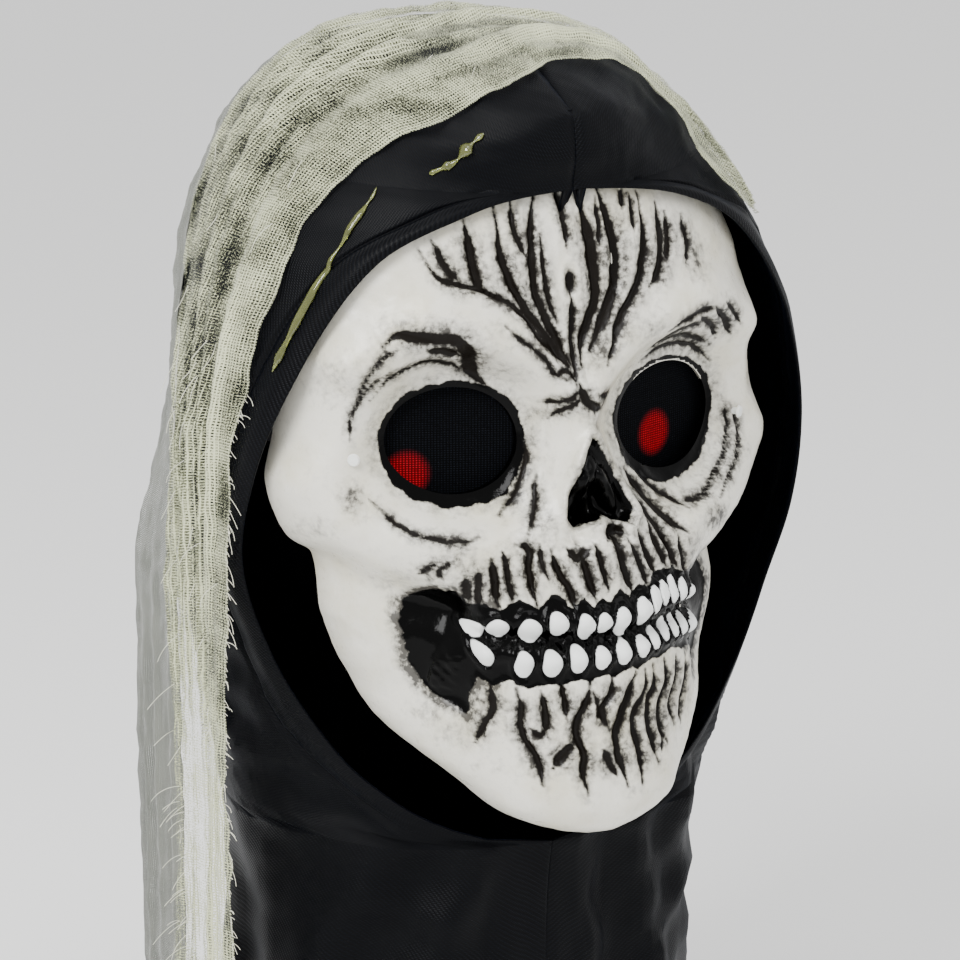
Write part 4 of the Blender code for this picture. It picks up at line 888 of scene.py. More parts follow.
def fold_rise(grid, run, levels, side):
    """How far each point of the smooth panel moves out to give hem, seam and folds."""
    x, y, z = grid[..., 0], grid[..., 1], grid[..., 2]
    rise = np.zeros(x.shape)
    turned = np.clip((run - 5) / 20, 0, 1)
    for (ax, az), (bx, bz), half, tall in HOOD_FOLDS:
        away, share = path_reach(x + 4 * ripple(y, z, 60), z, [(ax, az), (bx, bz)])
        taper = np.clip(np.minimum(share, 1 - share) / 0.25, 0, 1)
        front_side = np.clip((30 - y) / 40, 0, 1)
        rise += tall * taper * front_side * turned * (
            np.exp(-((away / half) ** 2)) - 0.4 * np.exp(-(((away - 2 * half) / half) ** 2))
        )
    skirt = np.clip((-130 - z) / 120, 0, 1)
    around = np.arctan2(x, -y)
    skirt *= np.clip(np.abs(x) / 25, 0, 1)
    rise += skirt * 3.2 * np.sin(9 * around + 0.8 * np.sin(z / 47) + side)
    rise += skirt * 1.4 * np.sin(17 * around + 1.3 * np.sin(z / 31 + 2))
    rise += turned * 0.8 * ripple(x + 0.5 * y, z, 46, 0.5) + turned * 0.35 * ripple(y + x, z, 17, 1.2)
    opened = np.clip((levels - 0.212) / 0.02, 0, 1) * np.clip((0.75 - levels) / 0.02, 0, 1)
    hem = opened[:, None]
    rise += hem * (1.8 * np.exp(-(((run - 6) / 7.0) ** 2)) - 1.3 * np.exp(-(((run - HEM_WIDTH) / 1.3) ** 2)))
    pucker = 0.3 * np.sin(z / 2.1 + 2 * np.sin(z / 9)) * np.exp(-(((run - HEM_WIDTH) / 4.5) ** 2))
    rise += hem * pucker
    crown_seam = np.minimum(np.abs(x), 30)
    rise -= 1.1 * np.exp(-((crown_seam / 2.0) ** 2)) * (z > 60)
    return rise


def quad_faces(rows, columns, flip=False):
    faces = []
    for r in range(rows - 1):
        for c in range(columns - 1):
            k = r * columns + c
            quad = (k, k + 1, k + columns + 1, k + columns)
            faces.append(quad[::-1] if flip else quad)
    return faces


def lay_uv(item, u, v):
    """A UV map in metres of flat cloth, so that the weave follows the sheet."""
    layer = item.data.uv_layers.new(name="cloth")
    index = np.empty(len(item.data.loops), np.int32)
    item.data.loops.foreach_get("vertex_index", index)
    pairs = np.stack([u.reshape(-1), v.reshape(-1)], -1)[index] * 0.001
    layer.data.foreach_set("uv", pairs.reshape(-1).astype(np.float32))


def softened(grid, rounds):
    """A grid with its small bumps averaged out, edges kept."""
    grid = grid.copy()
    for _ in range(rounds):
        grid[1:-1] += 0.5 * ((grid[:-2] + grid[2:]) / 2 - grid[1:-1])
        grid[:, 1:-1] += 0.5 * ((grid[:, :-2] + grid[:, 2:]) / 2 - grid[:, 1:-1])
    return grid


def settle(item, held, most, frames, growth):
    """Lets a sheet sag and crease as cloth, with the held points fixed and a cap on travel in mm."""
    group, pinned = item.vertex_groups.new(name="held"), held.reshape(-1)
    for weight in (1.0, 0.6, 0.3):
        chosen = [int(k) for k in np.nonzero((pinned >= weight) & (pinned < weight + 0.35))[0]]
        group.add(chosen, weight, "REPLACE")
    before = places_of(item)
    cloth = item.modifiers.new("drape", "CLOTH")
    cloth.settings.vertex_group_mass = "held"
    cloth.settings.quality = 6
    cloth.settings.mass = 0.12
    cloth.settings.bending_stiffness = 0.4
    cloth.settings.tension_stiffness = cloth.settings.compression_stiffness = 12
    cloth.settings.shrink_min = -growth
    cloth.settings.effector_weights.gravity = 0.25
    cloth.point_cache.frame_start, cloth.point_cache.frame_end = 1, frames
    scene = bpy.context.scene
    for step in range(1, frames + 1):
        scene.frame_set(step)
    apply_all(item)
    scene.frame_set(1)
    after = places_of(item)
    move = after - before
    length = np.linalg.norm(move, axis=1, keepdims=True)
    move *= most * np.tanh(length / most) / np.maximum(length, 1e-6)
    move = softened(move.reshape(*held.shape, 3), 16).reshape(-1, 3)
    item.data.vertices.foreach_set("co", ((before + move) * 0.001).reshape(-1).astype(np.float32))
    item.data.update()
    item.vertex_groups.clear()


satin, tree, shader = finish_named(
    "black_polyester_satin", "#020305", 0.42, Sheen_Weight=0.03, Sheen_Roughness=0.3, Specular_IOR_Level=0.07,
)
shader.inputs["Sheen Tint"].default_value = linear("#7C90C0")
THREAD = 0.00105  # real satin is finer; drawn as coarse as it needs to show
weave_place = add_node(tree, "UVMap", uv_map="cloth").outputs[0]
warp = add_node(
    tree, "TexWave",
    {"Vector": weave_place, "Scale": wave_scale(THREAD), "Distortion": 0.8, "Detail": 1.0},
    bands_direction="DIAGONAL",
)
weft = add_node(
    tree, "TexWave", {"Vector": weave_place, "Scale": wave_scale(THREAD * 0.75), "Distortion": 0.8},
    bands_direction="Y",
)
twill = add_node(tree, "Math", {0: warp.outputs["Fac"], 1: weft.outputs["Fac"]}, operation="MULTIPLY")
haze = add_node(
    tree, "TexNoise",
    {"Vector": add_node(tree, "TexCoord").outputs["Object"], "Scale": 26.0, "Detail": 4.0},
)
tint = add_node(
    tree, "MixRGB", {"Fac": twill.outputs[0], "Color1": linear("#010102"), "Color2": linear("#070A10")},
)
tree.links.new(tint.outputs[0], shader.inputs["Base Color"])
slick = add_node(
    tree, "MapRange",
    {"Value": haze.outputs["Fac"], "From Min": 0.35, "From Max": 0.65, "To Min": 0.38, "To Max": 0.56},
)
tree.links.new(slick.outputs[0], shader.inputs["Roughness"])
weave_bump = add_node(tree, "Bump", {"Height": twill.outputs[0], "Strength": 0.5, "Distance": 0.00025})
tree.links.new(weave_bump.outputs[0], shader.inputs["Normal"])


def thicken(item, depth, rounds=0):
    """Gives a sheet its real thickness, inwards from its outer skin."""
    if rounds:
        finer = item.modifiers.new("finer", "SUBSURF")
        finer.levels = finer.render_levels = rounds
    wall = item.modifiers.new("thickness", "SOLIDIFY")
    wall.thickness, wall.offset = depth * 0.001, -1
    wall.use_even_offset = True
    apply_all(item)
    deselect()
    item.select_set(True)
    bpy.context.view_layer.objects.active = item
    bpy.ops.object.shade_smooth()


hood_skins = []
for side, name in ((-1, "right"), (1, "left")):
    smooth, run, levels = hood_grid(side)
    out = normals_of(smooth)
    if out[HOOD_ROWS // 2, HOOD_COLUMNS // 2, 0] * side < 0:
        out = -out
    out[0] = (0, 0, 1)
    skin = smooth + out * fold_rise(smooth, run, levels, side)[..., None]
    skin[..., 0] = side * np.maximum(side * skin[..., 0], SEAM_GAP / 2)
    closed = (levels < 0.209) | (levels > 0.765)
    skin[0, :, 0] = skin[:, -1, 0] = skin[closed, 0, 0] = side * SEAM_GAP / 2
    flip = np.cross(skin[60, 41] - skin[60, 40], skin[61, 40] - skin[60, 40])[0] * side < 0
    panel = mesh_object(
        "hood_panel_" + name + "_cloth", skin.reshape(-1, 3), quad_faces(*skin.shape[:2], flip),
    )
    down_run = np.concatenate([
        np.zeros((1, skin.shape[1])), np.cumsum(np.linalg.norm(np.diff(skin, axis=0), axis=2), axis=0),
    ])
    lay_uv(panel, run, down_run)
    held = np.where(
        (run < 24) | (levels[:, None] < 0.03), 1.0, np.where(run < 34, 0.6, 0.3 * (skin[..., 2] > 70)),
    )
    held = np.where((np.abs(skin[..., 0]) < 1.5) | (levels[:, None] < 0.27), 1.0, held)
    settle(panel, held, 5.0, 14, 0.02)
    hood_skins.append((places_of(panel).reshape(skin.shape), run, levels))
    thicken(panel, HOOD_THICKNESS)
    panel.data.materials.append(satin)
    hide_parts("hood_panel_" + name, "face_hem_" + name)
    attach(panel, "mask")


# ---------------------------------------------------------------- gauze drape
# Open plain-weave cotton gauze, dyed pale greenish grey. It lies over the crown in long pleats,
# doubled along its front, and hangs beside the hood with its cut edges left to fray.

GAUZE_RISE, GAUZE_THICKNESS = 1.6, 0.35
GAUZE_PITCH = 0.00135
# Position over the crown, ray angle, height it starts from, front y and back y
DRAPE_OVER = (
    (0.00, 8, 62, -80, -40), (0.09, 24, 60, -84, -22), (0.18, 42, 60, -82, 5), (0.28, 63, 60, -74, 25),
    (0.38, 81, 60, -76, 38), (0.48, 102, 60, -88, 43), (0.58, 119, 60, -88, 43), (0.68, 138, 60, -76, 37),
    (0.78, 157, 60, -67, 26), (0.86, 175, 60, -64, 14), (0.93, 180, 30, -58, 5), (1.00, 180, 0, -55, -1),
)
# Pleats: share across the cloth (0 at its front edge) at five even steps along it, half-width,
# rise in mm, how doubled the cloth is
PLEATS = (
    ((0.02, 0.05, 0.12, 0.10, 0.12), 0.07, 2.2, 0.5), ((0.20, 0.22, 0.20, 0.26, 0.30), 0.05, 3.4, 1.0),
    ((0.36, 0.33, 0.42, 0.40, 0.50), 0.03, 2.6, 0.7), ((0.44, 0.50, 0.52, 0.58, 0.66), 0.035, 3.0, 0.9),
    ((0.62, 0.60, 0.66, 0.72, 0.80), 0.03, 2.2, 0.5), ((0.74, 0.78, 0.74, 0.84, 0.90), 0.03, 2.6, 0.6),
    ((0.90, 0.88, 0.92, 0.95, 0.97), 0.03, 2.0, 0.4), ((0.28, 0.42, 0.31, 0.33, 0.40), 0.02, 1.6, 0.3),
)


def surface_tree(grid):
    """A search tree of a grid's surface, in millimetres."""
    return BVHTree.FromPolygons([tuple(p) for p in grid.reshape(-1, 3)], quad_faces(*grid.shape[:2]))


def draped(stations, tree, columns, over_rows, tail_z, tail_rows, lean, rise):
    """A grid that lies on the hood and then hangs plumb to tail_z."""
    rows = []
    for turn, start_z, front, behind in zip(*eased(stations, np.linspace(0, 1, over_rows + 1))):
        way = Vector((math.cos(math.radians(turn)), 0, math.sin(math.radians(turn))))
        row = []
        for y in np.linspace(front, behind, columns):
            hit = tree.ray_cast(Vector((0, y, start_z)) + way * 300, -way)[0]
            row.append(tuple(hit + way * rise) if hit is not None else None)
        known = [k for k, p in enumerate(row) if p is not None]
        rows.append([row[min(known, key=lambda n: abs(n - k))] for k in range(columns)])
    rows = [np.array(row) for row in rows]
    last = rows[-1].copy()
    for share in np.linspace(0, 1, tail_rows + 1)[1:]:
        pull = min(1.0, share * 4)
        row = last.copy()
        row[:, 0] += (last[:, 0].min() - 1.0 - last[:, 0]) * pull + lean[0] * share
        row[:, 1] += lean[1] * share
        row[:, 2] += (tail_z - last[0, 2]) * share
        for k, place in enumerate(row):
            hit = tree.ray_cast(Vector((-300, place[1], place[2])), Vector((1, 0, 0)))[0]
            if hit is not None and hit.x < 0:
                row[k, 0] = min(place[0], hit.x - rise)
        rows.append(row)
    return np.array(rows)


def runs_of(grid):
    """Distance in mm across and along a grid, taken along its middle."""
    across_steps = np.linalg.norm(np.diff(grid, axis=1), axis=2)
    along_steps = np.linalg.norm(np.diff(grid, axis=0), axis=2)
    zero_column, zero_row = np.zeros((grid.shape[0], 1)), np.zeros((1, grid.shape[1]))
    over = np.concatenate([zero_column, np.cumsum(across_steps, axis=1)], axis=1)
    down_run = np.concatenate([zero_row, np.cumsum(along_steps, axis=0)], axis=0)
    return over, np.repeat(down_run.mean(axis=1, keepdims=True), grid.shape[1], axis=1)


def outward_of(grid):
    out = normals_of(grid)
    row, column = len(grid) // 3, grid.shape[1] // 2
    return -out if out[row, column, 2] < 0 else out


def pleated(grid, pleats, wave):
    """Pleats, wrinkles and a wavy front edge on a smooth drape, and how doubled it is."""
    rows, columns = grid.shape[:2]
    along_share, over_share = np.meshgrid(np.linspace(0, 1, rows), np.linspace(0, 1, columns), indexing="ij")
    over, along = runs_of(grid)
    rise, double = np.zeros(along_share.shape), np.zeros(along_share.shape)
    for steps, half, tall, weight in pleats:
        table = [(k / (len(steps) - 1), value) for k, value in enumerate(steps)]
        line = eased(table, along_share)[0] + 0.012 * np.sin(along / 23 + 40 * half)
        away = (over_share - line) / half
        swell = 0.65 + 0.35 * np.sin(along / 37 + 90 * half)
        rise += tall * swell * (np.exp(-(away**2)) - 0.45 * np.exp(-((away - 2.1) ** 2)))
        double = np.maximum(double, weight * swell * np.exp(-((away / 1.5) ** 4)))
    rise = 1.35 * rise + 0.7 * ripple(over, along, 34, 0.3) + 0.3 * ripple(along, over, 13, 1.0)
    pinch = np.hypot((over_share - 0.42) / 0.2, (along_share - 0.33) / 0.05)
    rise -= 2.0 * np.exp(-(pinch**2))
    double *= 1 - 0.8 * np.exp(-(pinch**2))
    edge = np.exp(-((over_share / 0.09) ** 2))
    back_edge = np.exp(-(((1 - over_share) / 0.09) ** 2))
    wavy = wave * (np.sin(along / 19) + 0.7 * np.sin(along / 7.3 + 1) + 0.35 * np.sin(along / 3.1))
    moved = grid + outward_of(grid) * np.maximum(rise, -0.9)[..., None]
    moved[..., 1] += edge * wavy + back_edge * wavy[::-1]
    double = np.maximum(double, 0.7 * np.exp(-((over_share / 0.02) ** 2)))
    return moved, np.clip(double, 0, 1), over, along


def gauze_finish(name, pale, dull, pitch, cover):
    """Cotton gauze: a see-through net of yarns, closed up where the cloth lies double."""
    made, tree, shader = finish_named(
        name, pale, 0.9, Sheen_Weight=0.25, Sheen_Roughness=0.6, Specular_IOR_Level=0.15,
    )
    flat = add_node(tree, "UVMap", uv_map="cloth").outputs[0]
    turned = add_node(
        tree, "Mapping", {"Vector": flat, "Location": (0.0004, 0.0003, 0), "Rotation": (0, 0, 0.3)},
    ).outputs[0]
    loose = add_node(tree, "TexNoise", {"Vector": flat, "Scale": 42.0, "Detail": 3.0})
    fuzz = add_node(tree, "TexNoise", {"Vector": flat, "Scale": 1500.0, "Detail": 2.0})
    nets = []
    for place, width in ((flat, 0.0), (turned, 0.06)):
        yarns = []
        for direction, share in (("X", 1.0), ("Y", 0.86)):
            scale = wave_scale(pitch * share)
            wave = add_node(
                tree, "TexWave",
                {"Vector": place, "Scale": scale, "Distortion": 1.6, "Detail Scale": 0.35},
                bands_direction=direction,
            )
            yarns.append(wave.outputs["Fac"])
        net = add_node(tree, "Math", {0: yarns[0], 1: yarns[1]}, operation="MAXIMUM")
        shift = add_node(
            tree, "MapRange",
            {
                "Value": loose.outputs["Fac"], "From Min": 0.3, "From Max": 0.7,
                "To Min": -0.12 + width, "To Max": 0.12 + width,
            },
        )
        net = add_node(tree, "Math", {0: net.outputs[0], 1: shift.outputs[0]}, operation="ADD")
        rough = add_node(
            tree, "MapRange",
            {"Value": fuzz.outputs["Fac"], "From Min": 0.3, "From Max": 0.7, "To Min": -0.15, "To Max": 0.15},
        )
        nets.append(add_node(tree, "Math", {0: net.outputs[0], 1: rough.outputs[0]}, operation="ADD"))
    doubled = add_node(tree, "Attribute", attribute_name="double").outputs["Fac"]
    fuller = add_node(tree, "Math", {0: doubled, 1: 0.3}, operation="MULTIPLY")
    nets[0] = add_node(tree, "Math", {0: nets[0].outputs[0], 1: fuller.outputs[0]}, operation="ADD")
    limits = {"From Min": 1.02 - cover, "From Max": 1.22 - cover}
    single = add_node(tree, "MapRange", {"Value": nets[0].outputs[0], **limits})
    second = add_node(tree, "MapRange", {"Value": nets[1].outputs[0], **limits})
    second = add_node(tree, "Math", {0: second.outputs[0], 1: doubled}, operation="MULTIPLY")
    closed = add_node(tree, "Math", {0: single.outputs[0], 1: second.outputs[0]}, operation="MAXIMUM")
    tree.links.new(closed.outputs[0], shader.inputs["Alpha"])
    shade = add_node(tree, "Math", {0: loose.outputs["Fac"], 1: fuzz.outputs["Fac"]}, operation="ADD")
    shade = add_node(tree, "MapRange", {"Value": shade.outputs[0], "From Min": 0.75, "From Max": 1.25})
    yarn = add_node(tree, "MixRGB", {"Fac": shade.outputs[0], "Color1": linear(dull), "Color2": linear(pale)})
    yarn = add_node(tree, "MixRGB", {"Fac": doubled, "Color1": yarn.outputs[0], "Color2": linear(pale)})
    tree.links.new(yarn.outputs[0], shader.inputs["Base Color"])
    relief = add_node(tree, "Bump", {"Height": nets[0].outputs[0], "Strength": 0.5, "Distance": 0.0003})
    tree.links.new(relief.outputs[0], shader.inputs["Normal"])
    return made


def gauze_sheet(name, grid, over, along, double, material):
    """A thin closed sheet from a grid, with its weave laid flat."""
    turned = np.cross(grid[1, 0] - grid[0, 0], grid[0, 1] - grid[0, 0]) @ outward_of(grid)[0, 0] > 0
    sheet = mesh_object(name, grid.reshape(-1, 3), quad_faces(*grid.shape[:2], turned))
    write_field(sheet, "double", double.reshape(-1))
    lay_uv(sheet, over, along)
    held = np.where(np.linspace(0, 1, len(grid))[:, None] < 0.55, 1.0, np.where(over < 6, 0.6, 0.3))
    settle(sheet, held, 2.5, 8, 0.02)
    thicken(sheet, GAUZE_THICKNESS)
    sheet.data.materials.append(material)
    return sheet


# The search tree laps the panels at the crown, so that no ray slips through the seam.
right_skin, left_skin = hood_skins[0][0].copy(), hood_skins[1][0].copy()
right_skin[0, :, 0], left_skin[0, :, 0] = 0.3, -0.3
hood_tree = surface_tree(np.concatenate([left_skin[:, ::-1], right_skin], axis=1))
right_tree = surface_tree(hood_skins[0][0])
smooth = softened(draped(DRAPE_OVER, hood_tree, 72, 210, -300, 110, (4, 4), GAUZE_RISE + 1.0), 10)
drape_grid, double, over, along = pleated(smooth, PLEATS, 1.5)
gauze = gauze_finish("pale_green_cotton_gauze", "#C8CBA8", "#7F8468", GAUZE_PITCH, 0.1)
drape = gauze_sheet("gauze_drape_cloth", drape_grid, over, along, double, gauze)
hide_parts("gauze_drape")
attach(drape, "mask")

# ---------------------------------------------------------------- grey veil
# A finer, smoother gauze in light grey behind the drape. It is glued to the back of the hood
# and hangs flat, so that a strip of it shows past the drape on the wearer's right.

VEIL_OVER = (
    (0.00, 107, 60, 42, 62), (0.25, 127, 60, 40, 72), (0.50, 147, 60, 34, 76), (0.70, 166, 60, 22, 70),
    (0.85, 180, 45, 10, 58), (1.00, 180, 10, 0, 44),
)
VEIL_PLEATS = (
    ((0.15, 0.18, 0.2, 0.22), 0.05, 1.2, 0.3), ((0.5, 0.46, 0.5, 0.55), 0.06, 1.4, 0.4),
    ((0.8, 0.82, 0.78, 0.8), 0.05, 1.2, 0.3),
)
smooth = softened(draped(VEIL_OVER, right_tree, 44, 110, -285, 100, (0, -6), GAUZE_RISE + 0.6), 8)
veil_grid, veil_double, veil_over, veil_along = pleated(smooth, VEIL_PLEATS, 0.6)
veil_cloth = gauze_finish("light_grey_gauze", "#74766E", "#5A5D55", GAUZE_PITCH * 0.62, 0.62)
veil = gauze_sheet("gauze_veil_cloth", veil_grid, veil_over, veil_along, veil_double, veil_cloth)
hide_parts("gauze_veil")
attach(veil, "mask")

# ---------------------------------------------------------------- loose threads
# Cotton yarns that have come out of the cut edges: short fuzz along the front edge of the
# tail, a few long curls from its back edge and some that lie across it.


def yarn_path(start, way, length, curl, sag):
    """Points along one loose yarn in mm."""
    way = np.array(way, float)
    way /= np.linalg.norm(way)
    swing = np.cross(way, (0.3, 0.2, 1.0))
    shares = np.linspace(0, 1, 9)[:, None]
    bent = swing * curl * length * np.sin(shares * 2.4) + np.array([0, 0, -1]) * sag * length * shares**2
    return np.array(start) + way * length * shares + bent


def yarns_object(name, paths, radius):
    """Thin round yarns along the given paths, as one closed-ended mesh."""
    curve = bpy.data.curves.new(name, "CURVE")
    curve.dimensions = "3D"
    curve.bevel_depth = radius * 0.001
    curve.bevel_resolution = 1
    curve.use_fill_caps = True
    for path in paths:
        spline = curve.splines.new("POLY")
        spline.points.add(len(path) - 1)
        for point, place in zip(spline.points, path):
            point.co = (*(np.asarray(place) * 0.001), 1)
    made = bpy.data.objects.new(name, curve)
    bpy.context.scene.collection.objects.link(made)
    deselect()
    made.select_set(True)
    bpy.context.view_layer.objects.active = made
    bpy.ops.object.convert(target="MESH")
    return bpy.context.object


chance = np.random.default_rng(7)
drape_places = places_of(drape)[: drape_grid.shape[0] * drape_grid.shape[1]].reshape(drape_grid.shape)
total_rows = len(drape_grid)
paths = []
for k in range(150):
    row = int(total_rows * (0.62 + 0.375 * chance.random()))
    start = drape_places[row, 0]
    way = (-0.35 + 0.7 * chance.random(), -1.0, -0.9 + 1.2 * chance.random())
    paths.append(yarn_path(start, way, 1.2 + 7.5 * chance.random() ** 3, 0.5 * (chance.random() - 0.5), 0.3))
for k in range(34):
    row = int(total_rows * (0.8 + 0.19 * chance.random()))
    way = (-0.9 - chance.random(), 0.3 + 0.7 * chance.random(), -0.7 + 0.9 * chance.random())
    start = drape_places[row, int(40 + 30 * chance.random())]
    paths.append(yarn_path(start, way, 4 + 9 * chance.random(), 1.2 * (chance.random() - 0.5), 0.5))
for k in range(46):
    row = int(total_rows * (0.3 + 0.68 * chance.random()))
    start = drape_places[row, int(4 + 60 * chance.random())] + (-1.5, 0, 0)
    way = (-0.25 - 0.2 * chance.random(), chance.random() - 0.5, -0.8 + 0.5 * chance.random())
    paths.append(yarn_path(start, way, 5 + 10 * chance.random(), 1.0 * (chance.random() - 0.5), 0.2))
fuzz_yarns = yarns_object("gauze_loose_threads", paths, 0.11)
yarn_cotton, tree, shader = finish_named("loose_cotton_yarn", "#DEDDC9", 0.9, Sheen_Weight=0.2)
speck = add_node(
    tree, "TexNoise",
    {"Vector": add_node(tree, "TexCoord").outputs["Object"], "Scale": 260.0, "Detail": 2.0},
)
mixed = add_node(
    tree, "MixRGB",
    {"Fac": speck.outputs["Fac"], "Color1": linear("#BDBDA6"), "Color2": linear("#F0EFE0")},
)
tree.links.new(mixed.outputs[0], shader.inputs["Base Color"])
fuzz_yarns.data.materials.clear()
fuzz_yarns.data.materials.append(yarn_cotton)
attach(fuzz_yarns, "mask")


# ---------------------------------------------------------------- hot glue
# Two runs of clear yellowish hot-melt glue that hold the gauze to the hood, squeezed out
# past its front edge in an uneven, lumpy bead.

SIDE_GLUE = ((0.0, 149, 60, -79), (0.4, 166, 60, -78), (0.7, 180, 55, -74), (1.0, 180, 32, -68))
TOP_GLUE = ((0.0, 118, 60, -96), (0.5, 129, 60, -94), (1.0, 138, 60, -89))


def glue_run(name, spots, swell, material, node_name):
    """A lumpy tube along the hood's skin."""
    points, rings = [], 150
    for k, (turn, start_z, y) in enumerate(zip(*eased(spots, np.linspace(0, 1, rings)))):
        way = Vector((math.cos(math.radians(turn)), 0, math.sin(math.radians(turn))))
        hit, normal = right_tree.ray_cast(Vector((0, y, start_z)) + way * 300, -way)[:2]
        normal = normal if normal.dot(way) > 0 else -normal
        points.append(np.array(hit + normal * 0.7))
    points = softened(np.array(points)[:, None].repeat(3, axis=1), 6)[:, 1]
    tangents = np.gradient(points, axis=0)
    tangents /= np.linalg.norm(tangents, axis=1, keepdims=True)
    verts = []
    for k, (place, tangent) in enumerate(zip(points, tangents)):
        share = k / (rings - 1)
        across_way = np.cross(tangent, (1.0, 0.2, 0.1))
        across_way /= np.linalg.norm(across_way)
        other = np.cross(tangent, across_way)
        lump = (
            0.9 + 0.45 * math.sin(share * 19 + swell) + 0.12 * math.sin(share * 43 + 2 * swell)
            + 1.1 * math.exp(-(((share - swell / 4) / 0.07) ** 2))
        )
        size = max(0.35, lump) * min(1, 12 * share + 0.15, 12 * (1 - share) + 0.15)
        for spoke in range(12):
            a = spoke * math.pi / 6
            verts.append(place + (across_way * math.cos(a) * 1.25 + other * math.sin(a) * 0.75) * size)
    faces = [
        (k * 12 + s, k * 12 + (s + 1) % 12, (k + 1) * 12 + (s + 1) % 12, (k + 1) * 12 + s)
        for k in range(rings - 1)
        for s in range(12)
    ]
    faces += [tuple(range(12))[::-1], tuple(range((rings - 1) * 12, rings * 12))]
    bead = mesh_object(name, verts, faces)
    face_outwards(bead)
    deselect()
    bead.select_set(True)
    bpy.context.view_layer.objects.active = bead
    bpy.ops.object.shade_smooth()
    bead.data.materials.append(material)
    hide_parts(node_name)
    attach(bead, "mask")


hot_melt, tree, shader = finish_named(
    "clear_yellow_hot_melt", "#A5A84A", 0.12, Transmission_Weight=0.8, IOR=1.48, Coat_Weight=0.4,
)
cloud = add_node(
    tree, "TexNoise",
    {"Vector": add_node(tree, "TexCoord").outputs["Object"], "Scale": 190.0, "Detail": 3.0},
)
cloud = add_node(
    tree, "MixRGB",
    {"Fac": cloud.outputs["Fac"], "Color1": linear("#6E7636"), "Color2": linear("#B9BE62")},
)
tree.links.new(cloud.outputs[0], shader.inputs["Base Color"])
glue_run("glue_run_side", SIDE_GLUE, 2.9, hot_melt, "glue_bead_side")
glue_run("glue_run_top", TOP_GLUE, 1.3, hot_melt, "glue_bead_top")

# ---------------------------------------------------------------- strap and pins
# The mask is worn on a flat woven elastic band, held at each temple by a white nylon pin with
# a black washer behind the wall. The pin's domed head is the only part that shows in front.


def smooth_sphere_noise(tree, scale, low, high, detail=3.0):
    """A noise in Object space mapped between two values."""
    place = add_node(tree, "TexCoord").outputs["Object"]
    noise = add_node(tree, "TexNoise", {"Vector": place, "Scale": scale, "Detail": detail})
    return add_node(
        tree, "MapRange",
        {"Value": noise.outputs["Fac"], "From Min": 0.3, "From Max": 0.7, "To Min": low, "To Max": high},
    ).outputs[0]


def plain_finish(name, dark, pale, rough, scale=220.0, bump=0.0, **sockets):
    """A moulded or plated finish: two close tones, uneven polish and a fine surface."""
    made, tree, shader = finish_named(name, dark, rough, **sockets)
    tone = add_node(
        tree, "MixRGB",
        {"Fac": smooth_sphere_noise(tree, scale, 0, 1), "Color1": linear(dark), "Color2": linear(pale)},
    )
    tree.links.new(tone.outputs[0], shader.inputs["Base Color"])
    tree.links.new(
        smooth_sphere_noise(tree, scale * 2.3, rough * 0.8, rough * 1.2), shader.inputs["Roughness"],
    )
    if bump:
        relief = add_node(
            tree, "Bump",
            {"Height": smooth_sphere_noise(tree, scale * 6, 0, 1), "Strength": bump, "Distance": 0.0002},
        )
        tree.links.new(relief.outputs[0], shader.inputs["Normal"])
    return made


def merged_copy(node_name, name):
    """A copy of a CAD piece with its doubled corners merged."""
    item = bpy.data.objects.new(name, frame["nodes"][node_name].data.copy())
    bpy.context.scene.collection.objects.link(item)
    work = bmesh.new()
    work.from_mesh(item.data)
    bmesh.ops.remove_doubles(work, verts=work.verts, dist=1e-6)
    work.to_mesh(item.data)
    work.free()
    item.data.materials.clear()
    return item


ribbed = merged_copy("elastic_strap", "elastic_strap_webbing")
finer = ribbed.modifiers.new("finer", "SUBSURF")
finer.subdivision_type = "SIMPLE"
finer.levels = finer.render_levels = 3
apply_all(ribbed)
band_places = places_of(ribbed)
normals = np.array([tuple(v.normal) for v in ribbed.data.vertices])
ribs = 0.12 * np.sin(2 * math.pi * band_places[:, 2] / 1.6) * (np.abs(normals[:, 2]) < 0.5)
ribbed.data.vertices.foreach_set(
    "co", ((band_places + normals * ribs[:, None]) * 0.001).reshape(-1).astype(np.float32),
)
webbing = plain_finish("black_woven_elastic", "#0A0A0B", "#1C1C1E", 0.85, 500.0, 0.6, Sheen_Weight=0.2)
ribbed.data.materials.append(webbing)
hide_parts("elastic_strap")
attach(ribbed, "mask")

nylon = plain_finish("white_moulded_nylon", "#DDDBD2", "#EFEEE8", 0.35, 180.0, Subsurface_Weight=0.1)
black_plastic = plain_finish("black_moulded_plastic", "#0C0C0D", "#18181A", 0.45, 220.0, 0.2)
for side_name in ("right", "left"):
    dress("strap_pin_" + side_name, nylon)
    dress("strap_washer_" + side_name, black_plastic)
    dress("led_sleeve_" + side_name, black_plastic)
    dress("led_stay_" + side_name, black_plastic)

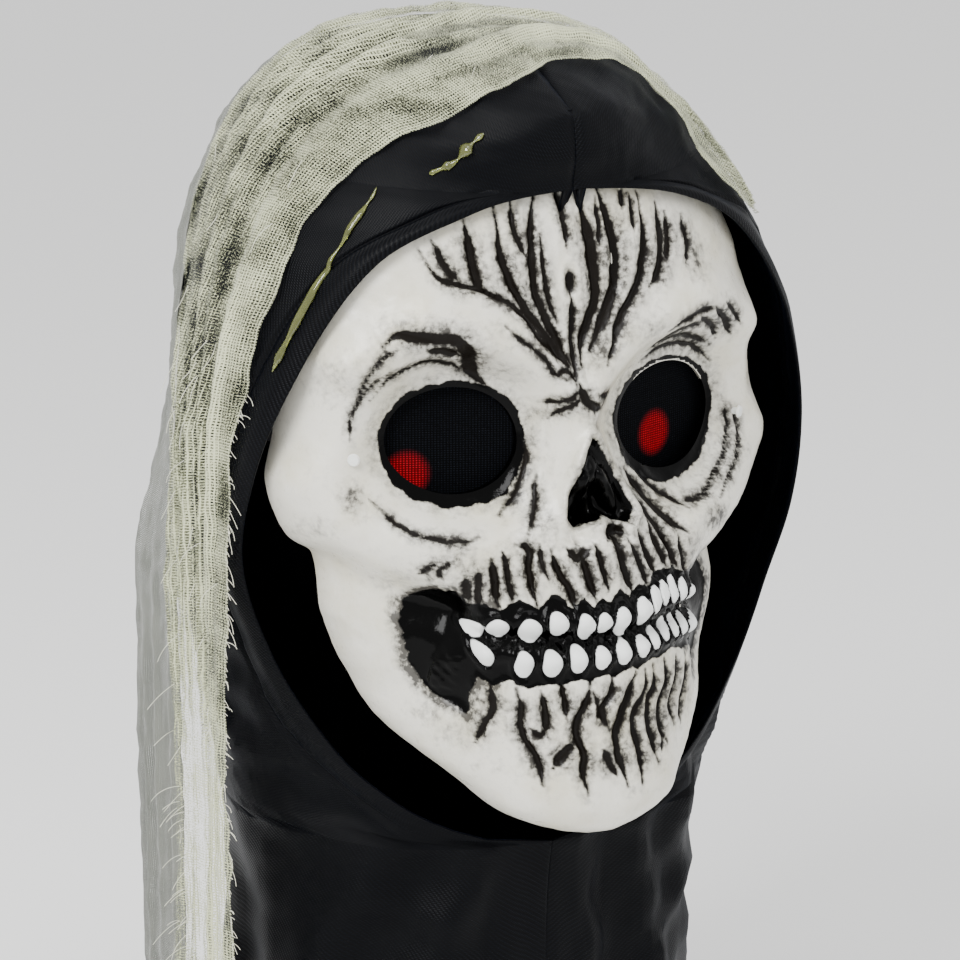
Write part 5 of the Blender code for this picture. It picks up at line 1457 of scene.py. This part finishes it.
# ---------------------------------------------------------------- lights and battery case
# Two red 5 mm LEDs in black sleeves stand behind the eyes on glued stays. Red PVC leads run to
# a small ABS case on the inside of the forehead, with a push button, two coin cells and a board.
led, tree, shader = finish_named(
    "red_tinted_epoxy", "#D0101C", 0.08, Transmission_Weight=0.5, IOR=1.55, Emission_Strength=1.6,
)
shader.inputs["Emission Color"].default_value = linear("#FF1020")
swirl = add_node(
    tree, "MixRGB",
    {"Fac": smooth_sphere_noise(tree, 300.0, 0, 1), "Color1": linear("#C00C16"), "Color2": linear("#E01824")},
)
tree.links.new(swirl.outputs[0], shader.inputs["Base Color"])
lead_pvc = plain_finish("red_pvc_insulation", "#8A1414", "#A01E1C", 0.45, 160.0)
case_abs = plain_finish("black_abs", "#0F0F10", "#1B1B1D", 0.5, 260.0, 0.35)
button_plastic = plain_finish("red_button_plastic", "#A81A16", "#C0261E", 0.4, 200.0)
board_mask = plain_finish("green_solder_mask", "#12401F", "#1D5A2E", 0.35, 320.0)
nickel = plain_finish("nickel_plate", "#A9ABAF", "#C4C6CA", 0.28, 240.0, 0.1, Metallic=1.0)
for node_name, material, slot_name in (
    ("led_left", led, "led_epoxy"), ("led_right", led, "led_epoxy"),
    ("led_lead_left", lead_pvc, "lead_pvc"), ("led_lead_right", lead_pvc, "lead_pvc"),
    ("battery_case", case_abs, "case_abs"), ("battery_cover", case_abs, "case_abs"),
    ("cover_screw", nickel, "nickel"), ("power_button", button_plastic, "button_plastic"),
    ("circuit_board", board_mask, "board"), ("tact_switch", black_plastic, "black_plastic"),
    ("coin_cell_1", nickel, "nickel"), ("coin_cell_2", nickel, "nickel"),
    ("cell_contact_1", nickel, "nickel"), ("cell_contact_2", nickel, "nickel"),
    ("cell_bridge", nickel, "nickel"),
):
    dress(node_name, material)

# ---------------------------------------------------------------- label
# A small white woven label, folded double, that is caught in the hood low on the wearer's right.
low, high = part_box("sewn_label")
label_grid = []
for level_z in np.linspace(high.z, low.z, 14):
    row = []
    for share in np.linspace(0, 2, 41):
        reach = 1 - abs(share - 1)
        x = high.x + (low.x - high.x) * reach
        lift = 0.00035 * (1 if share < 1 else -1) * min(1, abs(share - 1) * 6)
        row.append((x, (low.y + high.y) / 2 + lift + 0.0005 * math.sin(3 * reach + 260 * level_z), level_z))
    label_grid.append(row)
label_points = np.array(label_grid) * 1000
label = mesh_object("folded_label", label_points.reshape(-1, 3), quad_faces(14, 41))
wall = label.modifiers.new("thickness", "SOLIDIFY")
wall.thickness, wall.offset = 0.00022, 0
apply_all(label)
face_outwards(label)
woven_label = plain_finish("white_woven_polyester", "#D9DAD8", "#F2F2F0", 0.7, 900.0, 0.5)
label.data.materials.append(woven_label)
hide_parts("sewn_label")
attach(label, "mask")
